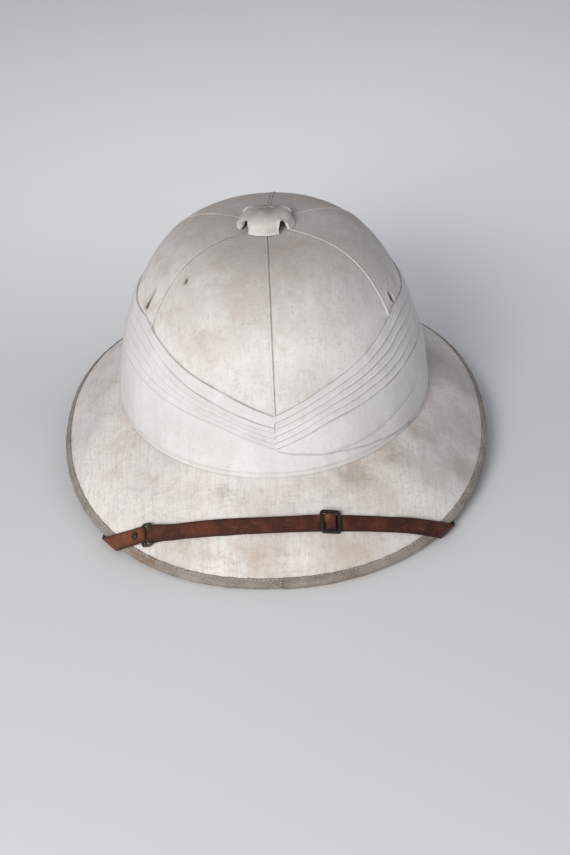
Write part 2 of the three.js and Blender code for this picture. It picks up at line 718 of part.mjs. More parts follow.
// Turns a fitting to lie on the strap's line, tipped down along its run by an angle
function seatOnStrap(mesh, x, height, tip = 0) {
  const { point, face } = strapStation(x, height, 0, 1);
  const run = strapStation(x + RUN_STEP, height, 0, 1).point.sub(point).normalize();
  const across = face.clone().cross(run);
  mesh.quaternion.setFromRotationMatrix(new THREE.Matrix4().makeBasis(run, across, face));
  mesh.rotateY(tip);
  mesh.position.copy(point);
}

// A rivet head lies on the inner face of the strap's end
function seatRivet(mesh, stations) {
  const [last, before] = [stations.at(-1), stations.at(-2)];
  const back = before.point.clone().sub(last.point).normalize();
  const stand = STRAP_THICK / 2 + PIECE_GAP + RIVET_HEIGHT / 2;
  mesh.quaternion.setFromUnitVectors(new THREE.Vector3(0, 1, 0), last.face);
  mesh.position.copy(last.point).addScaledVector(back, RIVET_END_MARGIN).addScaledVector(last.face, stand);
}

const helmet = new THREE.Group();

function addPiece(name, geometry, finish) {
  const mesh = new THREE.Mesh(geometry, new THREE.MeshStandardMaterial(COLOURS[finish]));
  mesh.name = name;
  helmet.add(mesh);
  return mesh;
}

addPiece('crown', crownGeometry(), 'cloth');
addPiece('brim', ringSolid(PLAIN_COLUMNS.map(brimSection)), 'cloth');
addPiece('edge_binding', ringSolid(PLAIN_COLUMNS.map(bindingSection)), 'tape');
addPiece('pagri_pleats', ringSolid(COLUMNS.map(pleatSection)), 'cloth');
addPiece('pagri_band', ringSolid(COLUMNS.map(bandSection)), 'cloth');
addPiece('chin_strap', bandSolid(chinStrapStations(), STRAP_WIDTH, STRAP_THICK), 'leather');
addPiece('strap_tab', bandSolid(tabStations(), STRAP_WIDTH, STRAP_THICK), 'leather');

const cap = addPiece('vent_cap', capGeometry(), 'cloth');
cap.position.set(CROWN_LEAN_X, CROWN_LEAN_Y, CROWN_BASE_Z + CROWN_HEIGHT + CAP_SEAT);

seatOnStrap(addPiece('strap_ring', ringGeometry(), 'metal'), RING_X, BAR_HEIGHT);

const tabSlope = Math.atan2(BAR_HEIGHT + FOLD_RADIUS - TAB_TOP[1].height, LEFT_BAR_X - TAB_TOP[1].x);
const studHeight = TAB_TOP[2].height + STRAP_THICK / 2 + 2 * PIECE_GAP;
seatOnStrap(addPiece('strap_stud', studGeometry(), 'metal'), STUD_X, studHeight, -tabSlope);

const buckleTip = Math.atan2(STRAP_THICK + STRAP_LIFT, BUCKLE_LENGTH - BUCKLE_BAR);
const buckleHeight = (LOWER_HEIGHT + UPPER_HEIGHT + STRAP_THICK) / 2 + PIECE_GAP;
seatOnStrap(addPiece('strap_buckle', buckleGeometry(), 'metal'), BUCKLE_X, buckleHeight, buckleTip);

for (const [name, side] of [['strap_rivet_left', -1], ['strap_rivet_right', 1]]) {
  const head = new THREE.CylinderGeometry(RIVET_RADIUS, RIVET_RADIUS, RIVET_HEIGHT, RIVET_SIDES);
  seatRivet(addPiece(name, head, 'metal'), strapTail(side));
}

export default helmet;
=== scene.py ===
import math

import bmesh
import bpy
import numpy as np
from mathutils import Matrix, Vector


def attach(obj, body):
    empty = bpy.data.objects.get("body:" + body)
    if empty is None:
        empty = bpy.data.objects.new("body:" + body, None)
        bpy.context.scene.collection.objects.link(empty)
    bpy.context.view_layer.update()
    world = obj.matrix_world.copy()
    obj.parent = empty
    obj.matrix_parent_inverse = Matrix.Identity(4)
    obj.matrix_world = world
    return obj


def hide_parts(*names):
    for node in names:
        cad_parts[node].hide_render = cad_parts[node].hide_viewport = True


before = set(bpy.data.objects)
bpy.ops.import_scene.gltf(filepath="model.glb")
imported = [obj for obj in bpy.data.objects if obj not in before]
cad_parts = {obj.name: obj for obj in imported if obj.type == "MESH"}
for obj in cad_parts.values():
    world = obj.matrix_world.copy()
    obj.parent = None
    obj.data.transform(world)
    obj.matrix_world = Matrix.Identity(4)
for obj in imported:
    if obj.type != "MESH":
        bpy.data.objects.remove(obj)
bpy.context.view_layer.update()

# Sizes are millimetres. Turns run from the strap's side towards +X, in radians, and in degrees in tables.
MM = 0.001
FULL_TURN = 2 * math.pi
RIPPLE_FADE = 0.4
RIPPLE_GAIN = 1.6

# Crown
BASE_Z = 41.0
CROWN_HALF_WIDTH = 103.4
CROWN_HALF_LENGTH = 117.2
CROWN_HEIGHT = 116.9
CROWN_SPAN_POWER = 0.505
CROWN_RISE_POWER = 1.4
CROWN_LEAN = np.array((0.4, -2.8, 0.0))
CROWN_WALL = 6.0
CROWN_SETBACK = 2.5
VENT_RADIUS = 7.0
SEAM_COUNT = 6
RIB_HALF_WIDTH = 0.85
RIB_HEIGHT = 0.6
RIB_GROOVE = 0.3
RIB_GROOVE_PLACE = 1.0
RIB_GROOVE_WIDTH = 0.4
RIB_LESSER_GROOVE = 0.25
RIB_SHIFTS = (-2.1, -1.6, -1.2, -0.95, -0.75, -0.5, -0.2, 0.2, 0.5, 0.75, 0.95, 1.2, 1.6, 2.1)
RIB_TAPER_RADIUS = 30.0
RIB_MARGIN = 0.08
BACK_SEAM_BEND = 0.1
BACK_SEAM_REACH = 0.45
BACK_SEAM_HEIGHTS = (55, 98)
COARSE_STEP = math.radians(1.2)
FINE_STEP = math.radians(0.35)
COVERED_SHARES = (0, 0.3, 0.6, 0.85, 0.97)
DOME_UNDERLAP = 0.4
DOME_ROWS = 130
INNER_ROWS = 36

# Tears in the crown's cloth: a path across and up the slope, and its half width
TEARS = (
    {"turn": -66, "height": 83.5, "path": ((0.7, 6.2), (0.0, 0.4), (-1.0, -4.4), (-2.6, -5.6)),
     "half": (0.9, 1.5, 2.4, 1.8), "depth": 2.2, "curl": 0.4},
    {"turn": 64.6, "height": 78.5, "path": ((-1.0, 3.2), (-0.4, 0.2), (0.7, -3.2)),
     "half": (1.1, 2.0, 1.2), "depth": 2.0, "curl": 0.9},
    {"turn": -47.4, "height": 103.0, "path": ((-0.5, 1.2), (0.4, -1.0)),
     "half": (0.5, 0.85), "depth": 1.0, "curl": 0.3},
)
TEAR_REACH = math.radians(4.5)
TEAR_EDGE = (-0.3, 0.4)
TEAR_LIP_PLACE = 1.0
TEAR_LIP_WIDTH = 0.6
TEAR_LEFT_LIP = 0.6
TEAR_SEARCH_DEPTH = 6.0
FAR_AWAY = 1e3

# Wrapped cloth: a quarter of its run, from the point of the V to the side, carried on past both ends
WRAP_TURNS = (-9, 0, 9, 18, 32, 46, 62, 90, 118)
WRAP_TOPS = (33, 40, 47, 54, 60.7, 68, 75, 71, 75)
WRAP_FEET = (12.7, 19.5, 26.3, 33, 36.6, 39.4, 42, 41, 42)
WRAP_EASE = 4.0
WRAP_COLUMNS = 460
WRAP_BACK_SHARES = (1.0, 0.5, 0.0)
WRAP_TOP_STAND = 0.9
WRAP_FOOT_STAND = 1.7
WRAP_BASE_STAND = 2.0

# Pleats: rows and relief over one pleat run from its lower edge to its upper one
PLEAT_COUNT = 5
PLEAT_SHARES = (0, 0.012, 0.03, 0.055, 0.085, 0.12, 0.16, 0.2, 0.26, 0.32, 0.38, 0.43, 0.47, 0.5,
                0.53, 0.57, 0.62, 0.68, 0.74, 0.8, 0.86, 0.91, 0.95, 0.98)
PLEAT_PROFILE_AT = (0, 0.03, 0.07, 0.14, 0.24, 0.55, 0.9, 1)
PLEAT_PROFILE = (-0.75, 0.35, 0.72, 0.62, 0.3, 0.05, -0.15, -0.7)
PLEAT_EDGE_RIPPLE = 0.011
PLEAT_FULLNESS = 0.18
PLEAT_TUCK_AT = 0.5
PLEAT_TUCK_RIPPLE = 0.1
PLEAT_TUCK_WIDTH = 0.04
PLEAT_TUCK = 0.12
PLEAT_TUCK_SHADE = 0.12
PLEAT_LINE_SHADE = 1.9
PLEAT_LINE_WIDTH = 0.075
PLEAT_SHADE_START = 0.9
PLEAT_SHADE_WIDTH = 0.06
PLEAT_END_DIP = -0.5
PLEAT_CROWDING = 0.3
PLEAT_CROWDED_TURN = math.radians(-16)
PLEAT_CROWDED_REACH = math.radians(24)

# Band: its lapped end, a soft fold on the right and the strip at its base
LAP_STEP = 0.95
LAP_START_HEIGHT = 16.4
LAP_START_TURN = math.radians(0.7)
LAP_RUN_IN = 2.6
LAP_RUN_IN_TURN = math.radians(3)
LAP_END = math.radians(57)
LAP_FADE = (math.radians(100), math.radians(170))
LAP_RIPPLE = 0.5
LAP_EDGE = (0.2, 0.5)
LAP_LINE_WIDTH = 0.7
LAP_LINE_SHADE = 0.55
FOLD_TURNS = (14, 24, 34, 48, 60)
FOLD_HEIGHTS = (12.4, 12.2, 13.5, 18.5, 22)
FOLD_BEGINS = (14, 20)
FOLD_ENDS = (50, 64)
FOLD_WIDTH = 1.0
FOLD_DEPTH = 0.45
FOLD_SHADE = 0.35
STRIP_HEIGHT = 3.0
STRIP_WIDTH = 0.6
STRIP_DEPTH = 0.3
STRIP_SHADE = 0.35
STRIP_FADE = (1.6, 3.6)
BAND_ROWS = 44
BAND_UNDERLAP = 0.3
BAND_WRINKLE = 0.22
BAND_WRINKLE_LEAN = 0.02
BAND_TUCK = 0.55
BAND_TUCK_SHARE = 0.96
BAND_SHADE_SHARE = 0.965

# Brim
BRIM_HALF_WIDTH = 142.4
BRIM_HALF_LENGTH = 175.5
BRIM_SQUARENESS = 2.22
BRIM_SIDE_DROP = 28.5
BRIM_END_DROP = 37.9
BRIM_ARCH_POWER = 1.6
BRIM_BULGE = 4.0
BRIM_WALL = 4.5
PIECE_GAP = 0.3
BRIM_COLUMNS = 420
BRIM_ROWS = 44
UNDER_ROWS = 26
BRIM_TUCK = 1.5
BRIM_WAVE = 0.28
BRIM_EDGE_ROUND = 1.3

# Edge binding and its stitches
TAPE_COLUMNS = 1300
TAPE_CLEARANCE = 0.15
TAPE_LEG = 2.5
TAPE_THICK = 0.95
TAPE_EDGE_THICK = 0.5
TAPE_TIP = 1.8
TAPE_FRAY = 0.12
TAPE_BOW = 0.12
TAPE_UNDER_SHARES = (0.7, 0.35)
TAPE_TOP_SHARES = (0.2, 0.4, 0.6, 0.8)
TAPE_ROUND_ROWS = 13
TAPE_LIP_ROUND = 0.25
TAPE_LIP_DROP = 0.2
TAPE_LIP_SEAT = 0.05
TAPE_ROUND_WEAR = 0.15
TAPE_TOP_WEAR = 0.3
TAPE_LIP_WEAR = 0.9
TAPE_JOINT_TURN = math.radians(0.1)
TAPE_JOINT_LENGTH = math.radians(5.0)
TAPE_JOINT_RAMP = 0.002
TAPE_JOINT_STEP = 0.45
TAPE_JOINT_WIDTH = 0.0028
TAPE_RUST_FADE = (0.25, 0.95)
STITCH_LINE_COLUMNS = 720
STITCH_SPACING = 2.7
STITCH_LENGTH = 1.7
STITCH_WIDTH = 0.5
STITCH_INSET = 0.8
STITCH_WANDER = 0.15
STITCH_ROW_SHARE = 0.75
STITCH_STAND = 0.05
STITCH_UNEVENNESS = 0.45
STITCH_SEED = 4

# Vent cap
CAP_SEAT = 0.5
CAP_WALL = 1.3
CAP_RADII = (18.9, 18.5, 17.2, 16.5, 15.9, 14.1, 9.5, 4.5, 0)
CAP_HEIGHTS = (0, 0.7, 2.2, 3.6, 4.8, 6.1, 7.5, 8.05, 8.2)
CAP_ROWS = 34
CAP_ROW_POWER = 1.15
CAP_PROFILE_STEPS = 200
CAP_TURN = math.radians(-6)
ARCH_COUNT = 4
ARCH_HALF = 4.0
ARCH_HEIGHT = 6.9
ARCH_RADIUS = 17.2
ARCH_COLUMNS = 25
LEG_COLUMNS = 26
ARCH_FLARE = 3.2
ARCH_FLARE_FADE = 0.16
ARCH_RIM_FADE = 0.05

# Chin strap
STRAP_WIDTH = 10.3
STRAP_THICK = 1.4
STRAP_FRONT_Y = -147.3
STRAP_BOW = 0.00125
STRAP_SKEW = 0.012
STRAP_LIFT = 0.4
STRAP_EDGE_REACH = 11.0
STRAP_SETTLED_REACH = 16.0
STRAP_UNDER_GAP = 0.9
STRAP_TAPE_LIFT = 1.0 + 2 * PIECE_GAP
STRAP_TOP_SHIFT = -0.8
STRAP_END_MARGIN = 14.0
STRAP_EDGE_RADIUS = BRIM_WALL / 2 + STRAP_TAPE_LIFT + STRAP_THICK / 2
STRAP_STATION_STEP = 4.0
STRAP_EDGE_CLEAR = 9.0
STRAP_RING_CLEAR = 3.0
STRAP_BUCKLE_CLEAR = 5.2
STRAP_SETTLE_LENGTH = 14.0
STRAP_PITCH = 1.1
STRAP_CORNER = 0.5
STRAP_CORNER_STEPS = 3
STRAP_FLATS = (0.88, 0.7, 0.35, 0, -0.35, -0.7, -0.88)
STRAP_PUFF = 0.06
STRAP_WANDER = 0.02
STRAP_WANDER_SPAN = 25

# Ring, stud, buckle and rivets
RING_X = -80.0
RING_WIRE = 0.9
RING_SPACING = 6.0
RING_CORNER = 1.8
RING_STRAIGHT = 10.2
STUD_X = -86.6
BUCKLE_X = 30.2
STRAP_SHIFT_FADE = (BUCKLE_X - 30, BUCKLE_X - 8)
BUCKLE_LENGTH = 13.2
BUCKLE_WIDTH = 14.8
BUCKLE_BAR = 2.1
BUCKLE_SIDE_BAR = 1.8
BUCKLE_CORNER = 1.9
BUCKLE_CORNER_INSET = 0.6
BUCKLE_TIP_INSET = 2.6
BUCKLE_THICK = 1.8
BUCKLE_SQUARENESS = 0.45
PIN_HALF_WIDTH = 0.8
PIN_HALF_THICK = 0.5
PIN_SEAT = 0.65
LOWER_HEIGHT = STRAP_LIFT + STRAP_THICK / 2
UPPER_HEIGHT = LOWER_HEIGHT + STRAP_THICK + STRAP_LIFT
STRAP_FOLD_RADIUS = RING_WIRE + PIECE_GAP + STRAP_THICK / 2
BAR_HEIGHT = LOWER_HEIGHT + STRAP_FOLD_RADIUS
RIGHT_BAR_X = RING_X + RING_SPACING / 2
LEFT_BAR_X = RING_X - RING_SPACING / 2
TAB_TOP = ((-95.0, 2.5), (-89.3, 3.15), (STUD_X, 4.0))
TONGUE = ((-3.5, UPPER_HEIGHT), (-1.7, 4.7), (0.0, 5.2), (1.6, 4.9), (2.6, 4.4))
STUD_OUTLINE = ((0, -0.35), (1.2, -0.35), (2.2, -0.35), (2.45, 0.1), (2.2, 0.8), (1.4, 1.45), (0.7, 1.65),
                (0, 1.7))
RIVET_MARGIN = 5.0
RIVET_OUTLINE = ((0, -0.25), (2, -0.25), (3.7, -0.25), (4, 0.25), (3.6, 1.1), (2.2, 1.75), (1, 1.95), (0, 2))


# Shapes

def lerp(low, high, share):
    return low + (high - low) * share


def ease(value, low, high):
    share = np.clip((value - low) / (high - low), 0, 1)
    return share * share * (3 - 2 * share)


def bell(value, centre, width):
    """One at the centre, fading away on both sides."""
    return np.exp(-((value - centre) / width) ** 2)


def unit(vector):
    return vector / np.linalg.norm(vector)


def furthest(holds, reach):
    """How far along a way a test still holds, by halving."""
    near, far = 0.0, reach
    for _ in range(40):
        middle = (near + far) / 2
        near, far = (middle, far) if holds(middle) else (near, middle)
    return near


def signed_turn(turns):
    return np.where(turns > math.pi, turns - FULL_TURN, turns)


def ripple(turn, seed, lowest, waves=6):
    """A gentle closed wave round the helmet, about one unit high."""
    rng = np.random.default_rng(seed)
    total = 0
    for wave in range(waves):
        count = lowest + int(rng.integers(0, lowest + 2)) + wave * lowest
        swing = rng.normal() * np.sin(count * turn + rng.uniform(0, FULL_TURN))
        total = total + swing / (1 + RIPPLE_FADE * wave)
    return total / math.sqrt(waves) * RIPPLE_GAIN


def oval_radius(turn, half_width, half_length, squareness=2.0):
    across = np.abs(np.sin(turn) / half_width) ** squareness
    along = np.abs(np.cos(turn) / half_length) ** squareness
    return (across + along) ** (-1 / squareness)


def around(turn, radius, height):
    turn, radius, height = np.broadcast_arrays(turn, radius, height)
    return np.stack((radius * np.sin(turn), -radius * np.cos(turn), height), -1)


def rise_at(share):
    return np.arcsin(np.clip(share, 0, 1) ** (1 / CROWN_RISE_POWER))


def crown_radius(turn, height, inset=0.0):
    base = oval_radius(turn, CROWN_HALF_WIDTH - inset, CROWN_HALF_LENGTH - inset)
    return base * np.cos(rise_at(height / (CROWN_HEIGHT - inset))) ** CROWN_SPAN_POWER


def crown_point(turn, radius, height):
    turn, radius, height = np.broadcast_arrays(turn, radius, height)
    lean = (height / CROWN_HEIGHT) ** 2
    return around(turn, radius, BASE_Z + height) + lean[..., None] * CROWN_LEAN


def wrap_level(turn, levels):
    quarter = np.degrees(np.arccos(np.clip(np.abs(np.cos(turn)), 0, 1)))
    steps = np.linspace(-WRAP_EASE, WRAP_EASE, 5)
    eased = sum(np.interp(quarter + step, WRAP_TURNS, levels) for step in steps) / len(steps)
    return np.where(quarter < 2 * WRAP_EASE, np.interp(quarter, WRAP_TURNS, levels), eased)


def seat_radius(turn, height):
    share = np.maximum(1 - height / wrap_level(turn, WRAP_TOPS), 0)
    return crown_radius(turn, height) - CROWN_SETBACK * share


def seam_turn(seam):
    angle = FULL_TURN * seam / SEAM_COUNT
    turn = math.atan2(CROWN_HALF_WIDTH * math.sin(angle), CROWN_HALF_LENGTH * math.cos(angle))
    return turn if seam < SEAM_COUNT / 2 + 0.5 else turn + FULL_TURN


def even_columns(count, fold_reach=math.radians(5), fold_step=math.radians(0.3)):
    """Columns round the helmet, closer together at the points of the V."""
    turns = list(np.linspace(0, FULL_TURN, count, endpoint=False))
    for fold in (0.0, math.pi):
        turns += list(np.arange(fold - fold_reach, fold + fold_reach, fold_step) % FULL_TURN)
    return np.unique(np.round(turns, 5))


# Meshes

def finish_mesh(name, mesh, sharp=50):
    mesh.polygons.foreach_set("use_smooth", np.ones(len(mesh.polygons), dtype=bool))
    mesh.set_sharp_from_angle(angle=math.radians(sharp))
    mesh.update()
    piece = bpy.data.objects.new(name, mesh)
    bpy.context.collection.objects.link(piece)
    return piece


def grid_piece(name, points, masks=None, closed_rows=True, closed_columns=True, caps=False, merge=False):
    """A surface from columns and rows of points, with its lengths both ways as its UV map."""
    columns, rows = points.shape[:2]
    mesh = bpy.data.meshes.new(name)
    here = np.arange(columns if closed_columns else columns - 1)[:, None]
    row = np.arange(rows if closed_rows else rows - 1)[None, :]
    after, above = (here + 1) % columns, (row + 1) % rows
    corners = np.stack(np.broadcast_arrays(
        here * rows + row, after * rows + row, after * rows + above, here * rows + above), -1)
    faces = corners.reshape(-1, 4).tolist()
    if caps:
        faces.append(list(range(rows)))
        faces.append(list(range((columns - 1) * rows, columns * rows))[::-1])
    mesh.from_pydata((points.reshape(-1, 3) * MM).tolist(), [], faces)
    along = np.linalg.norm(np.diff(points, axis=0, append=points[:1]), axis=-1).max(axis=1)
    along = np.concatenate(([0], np.cumsum(along)))
    up = np.linalg.norm(np.diff(points, axis=1, append=points[:, :1]), axis=-1).mean(axis=0)
    up = np.concatenate(([0], np.cumsum(up)))
    start, end = along[here] + 0 * row, along[here + 1] + 0 * row
    u = np.stack((start, end, end, start), -1)
    low, high = up[row] + 0 * here, up[row + 1] + 0 * here
    v = np.stack((low, low, high, high), -1)
    uv = np.stack((u, v), -1).reshape(-1, 2) * MM
    if caps:
        uv = np.concatenate((uv, np.zeros((2 * rows, 2))))
    layer = mesh.uv_layers.new(name="lengths")
    layer.data.foreach_set("uv", uv.astype(np.float32).ravel())
    for label, values in (masks or {}).items():
        mask = mesh.attributes.new(label, "FLOAT", "POINT")
        mask.data.foreach_set("value", np.broadcast_to(values, points.shape[:2]).astype(np.float32).ravel())
    if merge:
        bare = bmesh.new()
        bare.from_mesh(mesh)
        bmesh.ops.remove_doubles(bare, verts=bare.verts, dist=1e-6)
        bare.to_mesh(mesh)
        bare.free()
    return finish_mesh(name, mesh)


def smooth_line(values, count):
    """A rounded line through a few rows of values, at even steps of its own length."""
    values = np.asarray(values, dtype=float)
    lengths = np.linalg.norm(np.diff(values[:, :3], axis=0), axis=1)
    knots = np.concatenate(([0], np.cumsum(np.maximum(lengths, 1e-6))))
    slopes = np.gradient(values, knots, axis=0)
    places = np.linspace(0, knots[-1], count)
    span = np.clip(np.searchsorted(knots, places, side="right") - 1, 0, len(knots) - 2)
    width = knots[span + 1] - knots[span]
    t = ((places - knots[span]) / width)[:, None]
    start, end = values[span], values[span + 1]
    lead, trail = slopes[span] * width[:, None], slopes[span + 1] * width[:, None]
    return ((2 * t ** 3 - 3 * t ** 2 + 1) * start + (t ** 3 - 2 * t ** 2 + t) * lead
            + (3 * t ** 2 - 2 * t ** 3) * end + (t ** 3 - t ** 2) * trail)


def path_distance(across, along, path, halves):
    """Distance from a tear's path, less its half width there."""
    nearest = np.full(across.shape, FAR_AWAY)
    for (x0, y0), (x1, y1), h0, h1 in zip(path, path[1:], halves, halves[1:]):
        length = (x1 - x0) ** 2 + (y1 - y0) ** 2
        share = np.clip(((across - x0) * (x1 - x0) + (along - y0) * (y1 - y0)) / length, 0, 1)
        gap = np.hypot(across - lerp(x0, x1, share), along - lerp(y0, y1, share)) - lerp(h0, h1, share)
        nearest = np.minimum(nearest, gap)
    return nearest


# Pieces

def crown_columns():
    tears = [math.radians(tear["turn"]) % FULL_TURN for tear in TEARS]
    columns = []
    for seam in range(SEAM_COUNT):
        start, end = seam_turn(seam), seam_turn(seam + 1)
        columns += [(start, shift) for shift in RIB_SHIFTS]
        turn = start + RIB_MARGIN
        while turn < end - RIB_MARGIN:
            columns.append((turn, 0))
            near = any(abs(turn - tear) < TEAR_REACH for tear in tears)
            turn += FINE_STEP if near else COARSE_STEP
    return np.array(columns).T


def open_tears(points, outside):
    """The cloth pressed in along each tear, with its lips curled out."""
    torn, frayed = np.zeros(points.shape[:2]), np.zeros(points.shape[:2])
    for tear in TEARS:
        turn, height = math.radians(tear["turn"]), tear["height"]
        centre = crown_point(turn, crown_radius(turn, height), height)
        higher = crown_point(turn, crown_radius(turn, height + 1), height + 1)
        along = unit(higher - centre)
        across = np.array((math.cos(turn), math.sin(turn), 0))
        outward = np.cross(across, along)
        offset = points - centre
        gap = path_distance(offset @ across, offset @ along, tear["path"], tear["half"])
        gap = np.where(outside & (np.abs(offset @ outward) < TEAR_SEARCH_DEPTH), gap, FAR_AWAY)
        # The hole is also kept as the torn mask, painted near black as painted shade inside the tear.
        hole = 1 - ease(gap, *TEAR_EDGE)
        lip = bell(gap, TEAR_LIP_PLACE, TEAR_LIP_WIDTH) * np.where(offset @ across > 0, 1.0, TEAR_LEFT_LIP)
        points = points + (tear["curl"] * lip - tear["depth"] * hole)[..., None] * outward
        torn, frayed = np.maximum(torn, hole), np.maximum(frayed, lip)
    return points, torn, frayed


def crown_piece():
    turns, shifts = crown_columns()
    tops = wrap_level(turns, WRAP_TOPS)
    on_seam = np.isin(turns, [seam_turn(seam) for seam in range(SEAM_COUNT)])
    rib = RIB_HEIGHT * np.sqrt(np.maximum(1 - (shifts / RIB_HALF_WIDTH) ** 2, 0))
    lesser = RIB_LESSER_GROOVE * bell(shifts, -RIB_GROOVE_PLACE, RIB_GROOVE_WIDTH)
    # The groove is also kept as a mask, which the crown's finish darkens as painted shade along the rib's
    # grooves.
    groove = (bell(shifts, RIB_GROOVE_PLACE, RIB_GROOVE_WIDTH) + lesser) * on_seam
    relief = (rib - RIB_GROOVE * groove) * on_seam
    bend = BACK_SEAM_BEND * bell(turns, math.pi, BACK_SEAM_REACH)
    rows, grooves = [], []

    def place(radius, height, groove_here=0 * groove):
        turn = turns - bend * ease(height, *BACK_SEAM_HEIGHTS) + shifts / np.maximum(radius, RIB_TAPER_RADIUS)
        rows.append(crown_point(turn, radius, height))
        grooves.append(groove_here)

    for share in COVERED_SHARES:
        place(seat_radius(turns, tops * share), tops * share)
    start = rise_at((tops - DOME_UNDERLAP) / CROWN_HEIGHT)
    for row in range(DOME_ROWS):
        rise = lerp(start, math.pi / 2, row / DOME_ROWS)
        height = CROWN_HEIGHT * np.sin(rise) ** CROWN_RISE_POWER
        place(crown_radius(turns, height) + relief * np.cos(rise), height + relief * np.sin(rise), groove)
    for height in (CROWN_HEIGHT, CROWN_HEIGHT - CROWN_WALL):
        place(np.full(len(turns), VENT_RADIUS), np.full(len(turns), height))
    for row in range(1, INNER_ROWS + 1):
        rise = lerp(math.pi / 2, 0, row / INNER_ROWS)
        height = np.full(len(turns), (CROWN_HEIGHT - CROWN_WALL) * math.sin(rise) ** CROWN_RISE_POWER)
        place(crown_radius(turns, height, CROWN_WALL), height)
    points = np.stack(rows, 1)
    outside = np.zeros(points.shape[:2], dtype=bool)
    covered = len(COVERED_SHARES)
    outside[:, covered:covered + DOME_ROWS] = True
    points, torn, frayed = open_tears(points, outside)
    return grid_piece("crown", points, {"torn": torn, "frayed": frayed, "groove": np.stack(grooves, 1)})


def wrap_back(turns, low, high):
    """The hidden back of the wrapped cloth, from its top to its foot."""
    heights = [lerp(low, high, share) for share in WRAP_BACK_SHARES]
    return [crown_point(turns, seat_radius(turns, height) + PIECE_GAP, height) for height in heights]


def pleats_piece():
    turns = even_columns(WRAP_COLUMNS)
    feet, tops = wrap_level(turns, WRAP_FEET), wrap_level(turns, WRAP_TOPS)
    signed = signed_turn(turns)
    crowded = bell(signed, PLEAT_CROWDED_TURN, PLEAT_CROWDED_REACH) * (signed < 0)
    edges = [0 * turns]
    for pleat in range(1, PLEAT_COUNT):
        edge = pleat / PLEAT_COUNT + PLEAT_EDGE_RIPPLE * ripple(turns, seed=20 + pleat, lowest=5)
        edges.append(edge * (1 - PLEAT_CROWDING * crowded))
    edges.append(1 + 0 * turns)
    rows, creases = [], []

    def place(share, relief, crease):
        height = lerp(feet, tops, share)
        stand = lerp(WRAP_FOOT_STAND, WRAP_TOP_STAND, share) + relief
        rows.append(crown_point(turns, crown_radius(turns, height) + stand, height))
        creases.append(crease + 0 * turns)

    for pleat in range(PLEAT_COUNT):
        tuck_at = PLEAT_TUCK_AT + PLEAT_TUCK_RIPPLE * ripple(turns, seed=40 + pleat, lowest=3)
        full = 1 + PLEAT_FULLNESS * ripple(turns, seed=60 + pleat, lowest=4)
        for share in PLEAT_SHARES:
            tuck = bell(share, tuck_at, PLEAT_TUCK_WIDTH)
            relief = np.interp(share, PLEAT_PROFILE_AT, PLEAT_PROFILE) * full - PLEAT_TUCK * tuck
            # Painted shade, with some grime, in the crevices: a dark line at each pleat's lower edge, near
            # its top and along its tuck.
            line = np.clip(PLEAT_LINE_SHADE - share / PLEAT_LINE_WIDTH, 0, 1)
            shade = np.clip((share - PLEAT_SHADE_START) / PLEAT_SHADE_WIDTH, 0, 1)
            crease = np.clip(line + shade + PLEAT_TUCK_SHADE * tuck, 0, 1)
            place(lerp(edges[pleat], edges[pleat + 1], share), relief, crease)
    # The pagri's top edge gets full painted shade.
    place(np.ones(len(turns)), PLEAT_END_DIP, 1.0)
    back = wrap_back(turns, feet, tops)
    creases += [0 * turns] * len(back)
    return grid_piece("pagri_pleats", np.stack(rows + back, 1), {"crease": np.stack(creases, 1)})


